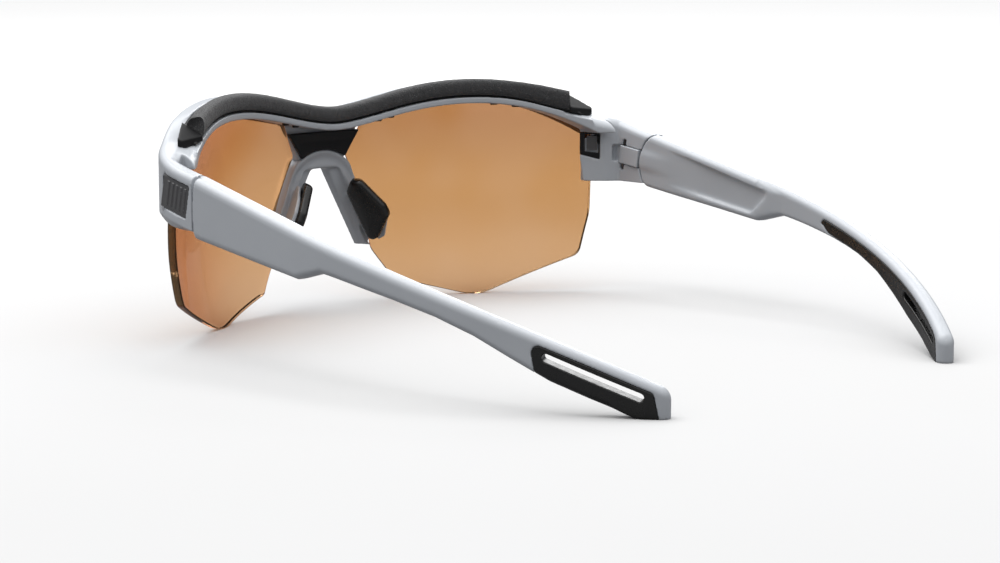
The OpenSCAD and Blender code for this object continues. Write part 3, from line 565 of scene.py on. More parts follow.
class Sheet:
    """A node tree with short ways to add nodes to it."""

    def __init__(self, tree: bpy.types.NodeTree) -> None:
        """Takes the tree to work on."""
        self.tree = tree

    def add(self, kind: str, settings: dict | None = None, **sockets: object) -> bpy.types.Node:
        """Adds a node.

        Args:
            kind: The node's type in Blender.
            settings: Properties of the node.
            sockets: Values or links of its inputs by name, with underscores for spaces, or by i and a number.

        Returns:
            The node.
        """
        node = self.tree.nodes.new(kind)
        for key, value in (settings or {}).items():
            setattr(node, key, value)
        for key, value in sockets.items():
            name = key.replace("_", " ").strip()
            numbered = name[0] == "i" and name[1:].isdigit()
            socket = node.inputs[int(name[1:]) if numbered else name]
            if isinstance(value, bpy.types.NodeSocket):
                self.tree.links.new(value, socket)
            else:
                socket.default_value = value
        return node

    def math(self, kind: str, a: object, b: object = 0.0, c: object = 0.0) -> bpy.types.NodeSocket:
        """Output of a maths node."""
        return self.add("ShaderNodeMath", {"operation": kind}, i0=a, i1=b, i2=c).outputs[0]

    def ramp(self, value: object, low: float, high: float, to_low: float = 0.0,
             to_high: float = 1.0) -> bpy.types.NodeSocket:
        """Output of a smooth map from one range to another, held at its ends."""
        return self.add("ShaderNodeMapRange", {"interpolation_type": "SMOOTHSTEP"}, Value=value,
                        From_Min=low, From_Max=high, To_Min=to_low, To_Max=to_high).outputs[0]

    def noise(self, where: object, scale: float, detail: float = 2.0,
              roughness: float = 0.5) -> bpy.types.NodeSocket:
        """Output of a noise texture over the object's own coordinates."""
        return self.add("ShaderNodeTexNoise", None, Vector=where, Scale=scale, Detail=detail,
                        Roughness=roughness).outputs["Fac"]

    def mix(self, share: object, a: object, b: object) -> bpy.types.NodeSocket:
        """Output of a colour mix.

        Args:
            share: Share of the second colour, from 0 to 1.
            a: The first colour.
            b: The second colour.

        Returns:
            The mixed colour's socket.
        """
        node = self.add("ShaderNodeMix", {"data_type": "RGBA"})
        share_in, first_in, second_in = node.inputs[0], node.inputs[6], node.inputs[7]
        for socket, value in ((share_in, share), (first_in, a), (second_in, b)):
            if isinstance(value, bpy.types.NodeSocket):
                self.tree.links.new(value, socket)
            elif isinstance(value, tuple) and len(value) == 3:
                socket.default_value = (*value, 1.0)
            else:
                socket.default_value = value
        return node.outputs[2]

    def finish(self, shader: bpy.types.Node) -> None:
        """Joins the surface shader to the material's output."""
        self.tree.links.new(shader.outputs[0], self.add("ShaderNodeOutputMaterial").inputs[0])


def blank_material(name: str) -> tuple[bpy.types.Material, Sheet]:
    """Opens a material with an empty node tree.

    Args:
        name: Its name.

    Returns:
        The material, and the sheet to draw its nodes on.
    """
    material = bpy.data.materials.new(name)
    material.use_nodes = True
    material.node_tree.nodes.clear()
    return material, Sheet(material.node_tree)


class Effects:
    """The shader groups that several finishes share, each built once."""

    def __init__(self) -> None:
        """Builds the groups."""
        self.grain = self._grain()
        self.edges = self._edges()
        self.drift = self._drift()

    @staticmethod
    def _group(name: str, inputs: Sequence[tuple[str, str, object]],
               outputs: Sequence[tuple[str, str]]) -> tuple[Sheet, bpy.types.Node, bpy.types.Node]:
        """An empty group with its named sockets.

        Args:
            name: Name of the group.
            inputs: Name, socket type and default of each input.
            outputs: Name and socket type of each output.

        Returns:
            The sheet of the group, its input node and its output node.
        """
        tree = bpy.data.node_groups.new(name, "ShaderNodeTree")
        for label, kind, value in inputs:
            socket = tree.interface.new_socket(label, in_out="INPUT", socket_type=kind)
            socket.default_value = value
        for label, kind in outputs:
            tree.interface.new_socket(label, in_out="OUTPUT", socket_type=kind)
        sheet = Sheet(tree)
        return sheet, sheet.add("NodeGroupInput"), sheet.add("NodeGroupOutput")

    def _grain(self) -> bpy.types.NodeTree:
        """Fine pitting that a spark-eroded mould leaves.

        Returns:
            The group, which puts out a height, and a mask for the roughness.
        """
        s, i, o = self._group("moulded grain", [("Scale", "NodeSocketFloat", 4000.0)],
                              [("Height", "NodeSocketFloat"), ("Mask", "NodeSocketFloat")])
        where = s.add("ShaderNodeTexCoord").outputs["Object"]
        fine = s.add("ShaderNodeTexNoise", None, Vector=where, Scale=i.outputs[0], Detail=2.0).outputs["Fac"]
        coarse = s.noise(where, 900.0, 3.0)
        s.tree.links.new(s.math("MULTIPLY_ADD", coarse, 0.35, s.math("MULTIPLY", fine, 0.65)), o.inputs[0])
        s.tree.links.new(s.ramp(coarse, 0.35, 0.65), o.inputs[1])
        return s.tree

    def _edges(self) -> bpy.types.NodeTree:
        """Handling wear on the outward edges, broken up so that it isn't even.

        Returns:
            The group, which puts out a mask.
        """
        s, i, o = self._group("worn edges", [("Amount", "NodeSocketFloat", 1.0)],
                              [("Mask", "NodeSocketFloat")])
        where = s.add("ShaderNodeTexCoord").outputs["Object"]
        sharp = s.ramp(s.add("ShaderNodeNewGeometry").outputs["Pointiness"], 0.52, 0.6)
        broken = s.ramp(s.noise(where, 260.0, 4.0), 0.35, 0.7)
        s.tree.links.new(s.math("MULTIPLY", s.math("MULTIPLY", sharp, broken), i.outputs[0]), o.inputs[0])
        return s.tree

    def _drift(self) -> bpy.types.NodeTree:
        """Slow change of tone over a surface, from a base to a second tone.

        Returns:
            The group, which puts out a colour.
        """
        tones = [("Base", "NodeSocketColor", (0.5, 0.5, 0.5, 1)),
                 ("Second", "NodeSocketColor", (0.4, 0.4, 0.4, 1))]
        s, i, o = self._group("tone drift", [*tones, ("Scale", "NodeSocketFloat", 40.0)],
                              [("Color", "NodeSocketColor")])
        where = s.add("ShaderNodeTexCoord").outputs["Object"]
        slow = s.add("ShaderNodeTexNoise", None, Vector=where, Scale=i.outputs[2], Detail=3.0).outputs["Fac"]
        s.tree.links.new(s.mix(s.ramp(slow, 0.35, 0.65), i.outputs[0], i.outputs[1]), o.inputs[0])
        return s.tree


@dataclass(frozen=True)
class Moulded:
    """A moulded plastic, rubber or metal: two close tones, a grain and worn edges."""

    name: str
    base: tuple[float, float, float]
    second: tuple[float, float, float]
    worn: tuple[float, float, float]
    roughness: float
    grain: float
    grain_scale: float = 4000.0
    wear: float = 0.5
    metallic: float = 0.0
    coat: float = 0.0
    gloss: float = 0.5

    def build(self, fx: Effects) -> bpy.types.Material:
        """Makes the material.

        Args:
            fx: The shared shader groups.

        Returns:
            The material.
        """
        m, s = blank_material(self.name)
        tone = s.add("ShaderNodeGroup", {"node_tree": fx.drift}, Base=(*self.base, 1),
                     Second=(*self.second, 1))
        edge = s.add("ShaderNodeGroup", {"node_tree": fx.edges}, Amount=self.wear)
        grain = s.add("ShaderNodeGroup", {"node_tree": fx.grain}, Scale=self.grain_scale)
        colour = s.mix(edge.outputs[0], tone.outputs[0], self.worn)
        rough = s.math("MULTIPLY_ADD", grain.outputs[1], 0.08, self.roughness - 0.04)
        bump = s.add("ShaderNodeBump", None, Height=grain.outputs[0], Strength=self.grain, Distance=0.00005)
        shader = s.add("ShaderNodeBsdfPrincipled", None, Base_Color=colour, Roughness=rough,
                       Metallic=self.metallic, Normal=bump.outputs[0])
        shader.inputs["Coat Weight"].default_value = self.coat
        shader.inputs["Coat Roughness"].default_value = 0.25
        shader.inputs["Specular IOR Level"].default_value = self.gloss
        s.finish(shader)
        return m


@dataclass(frozen=True)
class CellFoam:
    """Dark closed-cell foam: small open cells, their hollows painted darker than the rims as shade, and a
    soft sheen.
    """

    name: str = "sweat foam"
    dark: tuple[float, float, float] = (0.020, 0.020, 0.021)
    base: tuple[float, float, float] = (0.062, 0.062, 0.064)
    fleck: tuple[float, float, float] = (0.20, 0.20, 0.20)

    def build(self) -> bpy.types.Material:
        """Makes the material.

        Returns:
            The material.
        """
        m, s = blank_material(self.name)
        where = s.add("ShaderNodeTexCoord").outputs["Object"]
        cells = s.add("ShaderNodeTexVoronoi", {"feature": "F1"}, Vector=where, Scale=3800.0)
        flecks = s.add("ShaderNodeTexVoronoi", {"feature": "F1"}, Vector=where, Scale=3000.0)
        pits = s.ramp(cells.outputs["Distance"], 0.15, 0.6)
        chosen = s.math("MULTIPLY", s.ramp(s.noise(where, 2900.0, 2.0), 0.5, 0.66),
                        s.ramp(flecks.outputs["Distance"], 0.45, 0.1))
        ground = s.mix(s.ramp(s.noise(where, 500.0, 4.0, 0.6), 0.35, 0.65), self.dark, self.base)
        # Painted shade: the cells' hollows take the darker ground tone, and their rims take the paler base.
        pit_painted_shade = s.mix(pits, ground, self.base)
        colour = s.mix(chosen, pit_painted_shade, self.fleck)
        lift = s.math("ADD", pits, s.math("MULTIPLY", s.noise(where, 700.0, 3.0), 0.8))
        bump = s.add("ShaderNodeBump", None, Height=lift, Strength=0.7, Distance=0.00018)
        shader = s.add("ShaderNodeBsdfPrincipled", None, Base_Color=colour, Roughness=0.93,
                       Normal=bump.outputs[0])
        shader.inputs["Sheen Weight"].default_value = 0.25
        shader.inputs["Sheen Roughness"].default_value = 0.5
        shader.inputs["Specular IOR Level"].default_value = 0.25
        s.finish(shader)
        return m


@dataclass(frozen=True)
class TintedLens:
    """Polycarbonate with an amber tint that fades towards the bottom."""

    name: str
    top: tuple[float, float, float]
    middle: tuple[float, float, float]
    low: tuple[float, float, float]
    slanting: tuple[float, float, float] = (0.40, 0.11, 0.03)
    transmission: float = 1.0
    roughness: float = 0.06

    def build(self) -> bpy.types.Material:
        """Makes the material.

        Returns:
            The material.
        """
        m, s = blank_material(self.name)
        where = s.add("ShaderNodeTexCoord").outputs["Object"]
        height = s.add("ShaderNodeSeparateXYZ", None, Vector=where).outputs["Z"]
        lower = s.mix(s.ramp(height, 0.002, 0.024), self.low, self.middle)
        tint = s.mix(s.ramp(height, 0.022, 0.046), lower, self.top)
        slant = s.add("ShaderNodeLayerWeight", None, Blend=0.5).outputs["Facing"]
        deep = s.mix(s.ramp(slant, 0.35, 0.8), tint, self.slanting)
        haze = s.mix(s.ramp(s.noise(where, 35.0, 2.0), 0.3, 0.7, 0.0, 0.04), deep, (1.0, 1.0, 1.0))
        rough = s.ramp(s.noise(where, 60.0, 4.0), 0.4, 0.8, self.roughness, self.roughness + 0.03)
        shader = s.add("ShaderNodeBsdfPrincipled", None, Base_Color=haze, Roughness=rough)
        shader.inputs["Transmission Weight"].default_value = self.transmission
        shader.inputs["Specular IOR Level"].default_value = 0.2
        shader.inputs["IOR"].default_value = 1.12
        s.finish(shader)
        return m


class Finishes:
    """Every material of the object."""

    def __init__(self) -> None:
        """Builds the shared groups, then the materials."""
        fx = Effects()
        self.shell = Moulded("satin grey shell", (0.50, 0.525, 0.56), (0.47, 0.495, 0.53), (0.60, 0.62, 0.65),
                             0.34, 0.10, 5200.0, 0.35, coat=0.15).build(fx)
        self.black = Moulded("satin black plastic", (0.008, 0.008, 0.009), (0.012, 0.012, 0.013),
                             (0.04, 0.04, 0.042), 0.40, 0.12, 4200.0, 0.5, gloss=0.22).build(fx)
        self.lock = Moulded("dark lock panel", (0.075, 0.075, 0.078), (0.095, 0.095, 0.098),
                            (0.22, 0.22, 0.225), 0.42, 0.12, 4200.0, 0.8).build(fx)
        self.rubber = Moulded("soft black rubber", (0.004, 0.004, 0.004), (0.007, 0.007, 0.007),
                              (0.02, 0.02, 0.02), 0.30, 0.05, 3400.0, 0.3, gloss=0.5).build(fx)
        self.steel = Moulded("brushed steel", (0.55, 0.56, 0.58), (0.48, 0.49, 0.51), (0.72, 0.72, 0.74),
                             0.30, 0.15, 6500.0, 0.6, metallic=1.0).build(fx)
        # Painted shade: the fold pins are darkened to stand for the shade in the grooves that hold their
        # ends.
        self.fold_pin_shade_steel = Moulded("steel darkened as painted shade", (0.045, 0.046, 0.05), (0.06, 0.061, 0.065),
                                  (0.2, 0.2, 0.21), 0.42, 0.15, 6500.0, 0.5, metallic=1.0).build(fx)
        self.foam = CellFoam().build()
        self.lens = TintedLens("amber lens", (0.33, 0.145, 0.047), (0.51, 0.265, 0.10),
                               (0.62, 0.37, 0.19)).build()
        self.lens_edge = Moulded("lens edge", (0.085, 0.017, 0.008), (0.115, 0.022, 0.009),
                                 (0.17, 0.05, 0.02), 0.32, 0.08, 3600.0, 0.4, gloss=0.25).build(fx)


# Front


@dataclass(frozen=True)
class Front:
    """Front frame, nose bridge, bridge cover, pads and seats."""

    voxel: float = 0.2
    fine_voxel: float = 0.15
    seat_voxel: float = 0.08
    crown_in: float = 1.9
    crown_out: float = 1.5
    brow_crown: float = 0.9
    foam_proud: float = 1.0
    brow_from_z: float = 43.0
    end_from_x: float = 52.0
    end_front_y: float = -22.0
    end_roof_z: float = 36.0
    end_floor_z: float = 33.0
    turn_from_x: float = 50.0
    turn_from_y: float = -24.0
    turn_len: float = 8.0
    jamb_turn: tuple[float, float] = (0.598, 0.802)
    jamb_y: float = -9.2
    root_from_x: float = 57.0
    root_end_x: float = 62.5
    root_fade: float = 2.5
    root_from_y: float = -19.0
    root_len: float = 5.0
    inner_drop: float = 0.8
    chin_lift: float = 2.0
    chin_y: float = 1.2
    chin_len: float = 9.0
    chin_in: float = 3.2
    chin_low: float = 0.5
    leg_top_z: float = 28.7
    leg_in_x: float = 6.6
    leg_slope: float = 0.42
    arch_dish: float = 0.7
    dish_r: float = 9.3
    dish_w: float = 1.15
    dish_skin: float = 1.6
    cover_dish: float = 0.4
    cover_half: float = 9.0
    cover_z: tuple[float, float] = (33.0, 39.3)
    cover_rear_y: float = -39.8
    cover_grow: float = 1.03
    pad_t: float = 2.4
    pad_crown: float = 0.28
    pad_edge: float = 1.05
    pad_turns: tuple[tuple[float, str], ...] = ((-27.0, "Z"), (-24.0, "Y"), (15.4, "X"))
    pad_place: tuple[float, float, float] = (10.1, 6.85, 19.5)
    pad_corners: tuple[tuple[float, float, float], ...] = (
        (-3.8, -5.2, 1.5), (-2.8, -6.1, 1.2), (-1.2, -5.8, 1.2), (3.8, -1, 1.4),
        (3.8, 1.6, 1.4), (0.7, 8.9, 1.2), (-1.4, 9.6, 1), (-3.8, 7, 1.5))
    pad_points: int = 120

    def end_top(self, y: np.ndarray) -> np.ndarray:
        """Height of the end piece's top along the object."""
        return D.arm_top_z - 0.2 * y + 0.0058 * y * y

    @staticmethod
    def outer_depth(x: np.ndarray, y: np.ndarray) -> np.ndarray:
        """Distance of points inwards of the front's outer face, seen from above.

        Args:
            x: Distances from the middle.
            y: Places along the object.

        Returns:
            The distances: from the wrapped face, the rounded corner or the straight side.
        """
        corner_x = D.half_w - D.corner_r
        corner_y = D.wrap_y - math.sqrt((D.wrap_r - D.corner_r) ** 2 - corner_x ** 2)
        wrap = D.wrap_r - np.hypot(x, y - D.wrap_y)
        bend = D.corner_r - np.hypot(x - corner_x, y - corner_y)
        turned = np.arctan2(x - corner_x, corner_y - y) > math.atan2(corner_x, D.wrap_y - corner_y)
        return np.where(y > corner_y, D.half_w - x, np.where(turned & (x > corner_x), bend, wrap))

    def inner_share(self, x: np.ndarray, y: np.ndarray) -> np.ndarray:
        """How near points of the end pieces lie to its inner edge or to the ledge's rear edge.

        Args:
            x: Distances from the middle.
            y: Places along the object.

        Returns:
            Shares from 0, well inside the wall, to 1 at its inner face.
        """
        across, along = self.jamb_turn
        jamb = across * (x - D.root_in_x) - along * (y - self.jamb_y)
        face = np.maximum(x - D.root_in_x, np.minimum(jamb, self.seat_depth(x, y)))
        ledge = np.maximum(face, np.hypot(x, y - D.wrap_y) - D.wrap_r + D.rim_t)
        lead = rise(x, self.root_end_x, -self.root_fade)
        near = lead * np.clip(1 - ledge / self.crown_in, 0, 1)
        near += (1 - lead) * np.clip(1 - face / self.crown_in, 0, 1)
        return near * rise(y, self.root_from_y, self.root_len)

    def crown(self, p: np.ndarray) -> np.ndarray:
        """Rounds the shoulders of the end pieces and the brow, and lifts the end pieces' outer chin.

        Args:
            p: Points of the front frame.

        Returns:
            The points moved.
        """
        p = p.copy()
        x, y, z = np.abs(p[:, 0]), p[:, 1], p[:, 2]
        out = self.outer_depth(x, y)
        end = (x > self.end_from_x) & (y > self.end_front_y)
        turn_in = rise(y, self.turn_from_y, self.turn_len) * (x > self.turn_from_x)
        turn_in = turn_in * turn_in * (3 - 2 * turn_in)
        brow_top = np.array([D.foam_z(v) - self.foam_proud for v in x])
        top = (1 - turn_in) * brow_top + turn_in * self.end_top(y)
        radius = self.brow_crown + turn_in * (self.crown_out - self.brow_crown)
        over = top - radius * round_drop(out, radius)
        z = np.where((z > self.brow_from_z) | (end & (z > self.end_roof_z)), np.minimum(z, over), z)
        near = self.inner_share(x, y)
        under = top - self.inner_drop * self.crown_in * (1 - np.sqrt(1 - near ** 2))
        z = np.where((x > self.root_from_x) & (y > self.end_front_y), np.minimum(z, under), z)
        lift = self.chin_lift * np.clip((self.chin_y - y) / self.chin_len, 0, 1.2) + self.chin_low
        chin = D.end_low_z + lift * np.clip(1 - out / self.chin_in, 0, 1) ** 2
        p[:, 2] = np.where(end & (z < self.end_floor_z), np.maximum(z, chin), z)
        return p

    @staticmethod
    def seat_depth(x: np.ndarray, y: np.ndarray) -> np.ndarray:
        """Distance of points outwards of the slanted face beside the lens."""
        return (x - D.seat_x) * math.sin(D.seat_turn) - (y + D.end_len) * math.cos(D.seat_turn)

    def frame(self, nodes: dict, fin: Finishes) -> None:
        """Moulds the front frame."""
        Blank.from_node("moulded_front", nodes["front_frame"]).recast(self.voxel).form(self.crown) \
            .recast(self.voxel).ease(4).done("front", Slot.SHELL, [fin.shell], ["front_frame"])

    def soft_arch(self, p: np.ndarray) -> np.ndarray:
        """Share of easing on the arch and the legs' inner walls, but not on the pads' carriers.

        Args:
            p: Points of the nose bridge.

        Returns:
            Their shares.
        """
        x, y, z = np.abs(p[:, 0]), p[:, 1], p[:, 2]
        high = rise(z, 24, 5) * (x < 10)
        wall = (x < self.leg_in_x + (self.leg_top_z - z) * self.leg_slope) & (z < 31)
        return np.maximum(high, wall) * (y > 1.3 - D.bridge_front)

    def dished_arch(self, p: np.ndarray) -> np.ndarray:
        """Hollows the arch's rear face between its outer rim and its opening.

        Args:
            p: Points of the nose bridge.

        Returns:
            The points moved.
        """
        p = p.copy()
        rear = 4.0 - D.bridge_front
        r = np.hypot(p[:, 0], p[:, 2] - D.arch_mid_z)
        hollow = np.exp(-((r - self.dish_r) / self.dish_w) ** 2) * rise(p[:, 2], 22, 6)
        p[:, 1] -= self.arch_dish * hollow * rise(p[:, 1], rear - self.dish_skin, self.dish_skin)
        return p

    def bridge(self, nodes: dict, fin: Finishes) -> None:
        """Moulds the nose bridge: a dished arch over two legs with plain inner walls.

        Args:
            nodes: The CAD nodes by name.
            fin: The finishes.
        """
        Blank.from_node("moulded_nose_bridge", nodes["nose_bridge"]).recast(self.fine_voxel).ease(8) \
            .ease(120, 0.5, self.soft_arch).form(self.dished_arch) \
            .done("front", Slot.SHELL, [fin.shell], ["nose_bridge"])

    def dished_cover(self, p: np.ndarray) -> np.ndarray:
        """Hollows the cover's rear face and draws its ends out to the lenses.

        Args:
            p: Points of the bridge's cover.

        Returns:
            The points moved.
        """
        p = p.copy()
        low, high = self.cover_z
        share = np.clip(1 - (p[:, 0] / self.cover_half) ** 2, 0, 1)
        share *= rise(p[:, 2], high, -2) * rise(p[:, 2], low, 4)
        p[:, 1] -= self.cover_dish * share * (p[:, 1] > self.cover_rear_y)
        p[:, 0] *= self.cover_grow
        return p

    def cover(self, nodes: dict, fin: Finishes) -> None:
        """Moulds the bridge's rear cover."""
        Blank.from_node("moulded_bridge_cover", nodes["bridge_cover"]).recast(self.fine_voxel) \
            .form(self.dished_cover).ease(5).done("front", Slot.BLACK, [fin.black], ["bridge_cover"])

    def pads(self, fin: Finishes) -> None:
        """Casts the two soft nose pads, crowned towards the nose.

        Args:
            fin: The finishes.
        """
        profile = [(0.2, q, 0.0) for q in (0.3, 0.8, 1.0)] + [(0.0, 1.0, 0.2), (0.0, 1.0, 0.9)]
        profile += rounded_edge(self.pad_edge, self.pad_t - self.pad_crown, 7)
        profile += [(self.pad_edge, q, self.pad_t - self.pad_crown * q * q)
                    for q in (0.9, 0.75, 0.55, 0.35, 0.15)]
        rings = inset_rings(evenly(rounded(self.pad_corners), self.pad_points), profile)
        turn = Matrix.Identity(3)
        for angle, axis in self.pad_turns:
            turn = turn @ Matrix.Rotation(math.radians(angle), 3, axis)
        turn = np.array(turn)
        place = np.array(self.pad_place) - np.array([0, D.front_depth, 0])
        for side, sign in SIDES:
            placed = []
            for r in rings:
                local = np.column_stack([self.pad_t - r[:, 2], r[:, 0], r[:, 1]])
                placed.append(mirrored(local @ turn.T + place, sign))
            pad = Blank.from_rings(f"nose_pad_soft_{side}", placed) \
                .done("front", Slot.RUBBER, [fin.rubber], [f"nose_pad_{side}"])

    def seats(self, nodes: dict, fin: Finishes) -> None:
        """Moulds the black frames round the locks' noses.

        Args:
            nodes: The CAD nodes by name.
            fin: The finishes.
        """
        for side, _ in SIDES:
            Blank.from_node(f"moulded_lens_seat_{side}", nodes[f"lens_seat_{side}"]).recast(self.seat_voxel) \
                .ease(4).done("front", Slot.BLACK, [fin.black], [f"lens_seat_{side}"])

    def build(self, nodes: dict, fin: Finishes) -> None:
        """Makes the whole sub-assembly.

        Args:
            nodes: The CAD nodes by name.
            fin: The finishes.
        """
        self.frame(nodes, fin)
        self.bridge(nodes, fin)
        self.cover(nodes, fin)
        self.pads(fin)
        self.seats(nodes, fin)


@dataclass(frozen=True)
class SweatBar:
    """Foam bar and the carrier behind it."""

    stations: int = 420
    sides: int = 44
    crown: float = 0.66
    end_steps: int = 8
    end_round: float = 0.25
    end_shrink: float = 0.06
    end_gap: float = 0.65
    floor_gap: float = 0.44
    rough: float = 0.05
    carrier_voxel: float = 0.14

    def ring(self, x: float, shrink: float) -> np.ndarray:
        """One closed section of the foam.

        Args:
            x: Distance from the middle, along the carrier's face.
            shrink: Share of the full section.

        Returns:
            The section's points.
        """
        step_r = D.wrap_r - D.brow_t
        outer = step_r - D.carrier_t - 0.05
        inner = step_r - D.carrier_t - D.foam_t
        a = math.asin(x / (step_r - D.carrier_t))
        mid, half = (inner + outer) / 2, (outer - inner) / 2
        points = []
        for j in range(self.sides):
            t = 2 * math.pi * (j + 0.5) / self.sides
            c, s = math.cos(t), math.sin(t)
            r = mid + shrink * half * math.copysign(abs(c) ** self.crown, c)
            px = r * math.sin(a)
            low = D.ledge_z(px) + self.floor_gap
            high = D.foam_z(px)
            z = (low + high) / 2 + shrink * (high - low) / 2 * math.copysign(abs(s) ** self.crown, s)
            points.append((px, D.wrap_y - r * math.cos(a), z))
        return np.array(points)

    def foam(self, fin: Finishes) -> None:
        """Casts the foam bar with rounded ends and a slightly uneven skin.

        Args:
            fin: The finishes.
        """
        reach = D.foam_end_x - self.end_gap
        ends = []
        for i in range(self.end_steps + 1):
            q = 1 - i / self.end_steps
            ends.append((reach - self.end_round * (1 - math.sqrt(1 - q * q)), 1 - self.end_shrink * q * q))
        middle = np.linspace(-reach + self.end_round, reach - self.end_round, self.stations)[1:-1]
        rings = [self.ring(-x, shrink) for x, shrink in ends] + [self.ring(float(x), 1.0) for x in middle]
        rings += [self.ring(x, shrink) for x, shrink in reversed(ends)]
        blank = Blank.from_rings("sweat_bar_cell_foam", rings)
        mesh = blank.obj.data
        points = points_of(mesh)
        normals = np.array([v.normal for v in mesh.vertices])
        lift = np.array([noise.noise(Vector(p) * 1.1) + 0.6 * noise.noise(Vector(p) * 2.6) for p in points])
        set_points(mesh, points - normals * (self.rough * (1.0 + lift))[:, None])
        piece = blank.done("front", Slot.FOAM, [fin.foam], ["sweat_bar_foam"])

    @staticmethod
    def caps(p: np.ndarray) -> np.ndarray:
        """Share of easing on the carrier's end caps."""
        return rise(np.abs(p[:, 0]), D.foam_end_x - 3.2, 1.0)

    def carrier(self, nodes: dict, fin: Finishes) -> None:
        """Moulds the black carrier with its clips and end caps."""
        Blank.from_node("moulded_sweat_bar_carrier", nodes["sweat_bar_carrier"]).recast(self.carrier_voxel) \
            .ease(3).ease(10, 0.5, self.caps).done("front", Slot.BLACK, [fin.black], ["sweat_bar_carrier"])

    def build(self, nodes: dict, fin: Finishes) -> None:
        """Makes the whole sub-assembly."""
        self.foam(fin)
        self.carrier(nodes, fin)


@dataclass(frozen=True)
class Lenses:
    """Two curved lenses with eased edges."""

    count: int = 260
    bevel: float = 0.22
    rings_in: tuple[float, ...] = (0.12, 0.3, 0.5, 0.68, 0.82, 0.92, 0.975)
    knee: tuple[float, float] = (7.5, 34.1)
    waist: tuple[float, float] = (13.2, 21.4)
    foot: tuple[float, float] = (14.2, 11.6)
    inner_low: tuple[float, float] = (19.0, 4.5)
    outer_low: tuple[float, float] = (10.6, 8.65)
    base_share: float = 0.544
    outer_in: float = 8.05
    upper_in: float = 0.5
    upper_z: tuple[float, float] = (36.5, 30.5)
    shoulder_z: float = 28.0
    side_z: float = 18.5
    side_in: float = 0.15
    top_end_in: float = 10.7
    top_step: float = 3.0
    groove_roof: float = 0.25
    base_r: float = 12.0

    def top_edge(self) -> list[list[float]]:
        """Corners along the lens's top edge, in the brow's groove.

        Returns:
            Their places in the lens's own frame, and a radius of 0 for each.
        """
        found = []
        for x in np.arange(D.lens_inner_x, D.half_w - self.top_end_in, self.top_step):
            roof = D.rim_z(x) + D.ledge_h - self.groove_roof
            found.append([D.lens_x(x, D.lip_z(x)), min(D.lip_z(x) + D.lens_in, roof), 0])
        return found

    def outline(self) -> np.ndarray:
        """The lens's outline in its own frame, x across and z up.

        Returns:
            Its points, evenly spaced, with the lowest one at height 0.
        """
        outer = D.half_w - self.outer_in
        upper = D.lens_x(outer, self.shoulder_z) - self.upper_in
        low = [D.lens_x(D.half_w - self.outer_low[0], self.outer_low[1]), self.outer_low[1]]
        side = [D.lens_x(*self.inner_low), self.inner_low[1]]
        base = np.array([D.lens_x(self.base_share * D.half_w, 0), 0.0])
        for _ in range(4):
            arc = fillet(np.array(low), base, np.array(side), self.base_r, 6)
            base[1] -= min(q[1] for q in arc)
        corners = self.top_edge()
        corners += [[upper, self.upper_z[0], 1], [upper, self.upper_z[1], 2],
                    [D.lens_x(outer, self.shoulder_z), self.shoulder_z, 2],
                    [D.lens_x(outer - self.side_in, self.side_z), self.side_z, 15],
                    [*low, 3], [base[0], base[1], self.base_r], [*side, 1.5]]
        inner_corners = ((self.foot, 5), (self.waist, 12), (self.knee, 1.5))
        corners += [[D.lens_x(*spot), spot[1], r] for spot, r in inner_corners]
        return evenly(rounded(corners), self.count)

    def profile(self) -> tuple[list[tuple[float, float, float]], range]:
        """Section of a lens from the middle of its inner face round the edge to that of the outer face.

        Returns:
            The section for inset_rings, and the bands of it that are the ground edge.
        """
        b, t = self.bevel, D.lens_t
        found = [(b, q, 0.0) for q in self.rings_in] + [(b, 1.0, 0.0)]
        start = len(found) - 1
        found += [(b * 0.3, 1.0, b * 0.3), (0.0, 1.0, b), (0.0, 1.0, t / 2), (0.0, 1.0, t - b),
                  (b * 0.3, 1.0, t - b * 0.3), (b, 1.0, t)]
        stop = len(found) - 1
        found += [(b, q, t) for q in reversed(self.rings_in)]
        return found, range(start, stop)

    def build(self, fin: Finishes) -> None:
        """Grinds the two lenses.

        Args:
            fin: The finishes.
        """
        turn = math.radians(D.lens_turn)
        profile, edge = self.profile()
        rings = inset_rings(self.outline(), profile)
        for side, sign in SIDES:
            placed = []
            for r in rings:
                radius = D.lens_r - D.lens_t + r[:, 2]
                deep = -np.sqrt(radius ** 2 - r[:, 0] ** 2 - (r[:, 1] - D.lens_mid_z) ** 2)
                x = r[:, 0] * math.cos(turn) - deep * math.sin(turn)
                y = r[:, 0] * math.sin(turn) + deep * math.cos(turn)
                points = np.column_stack([x + D.lens_axis[0], y + D.lens_axis[1], r[:, 1]])
                placed.append(mirrored(points, sign))
            Blank.from_rings(f"ground_lens_{side}", placed, edge) \
                .done("front", Slot.LENS, [fin.lens, fin.lens_edge], [f"lens_{side}"])


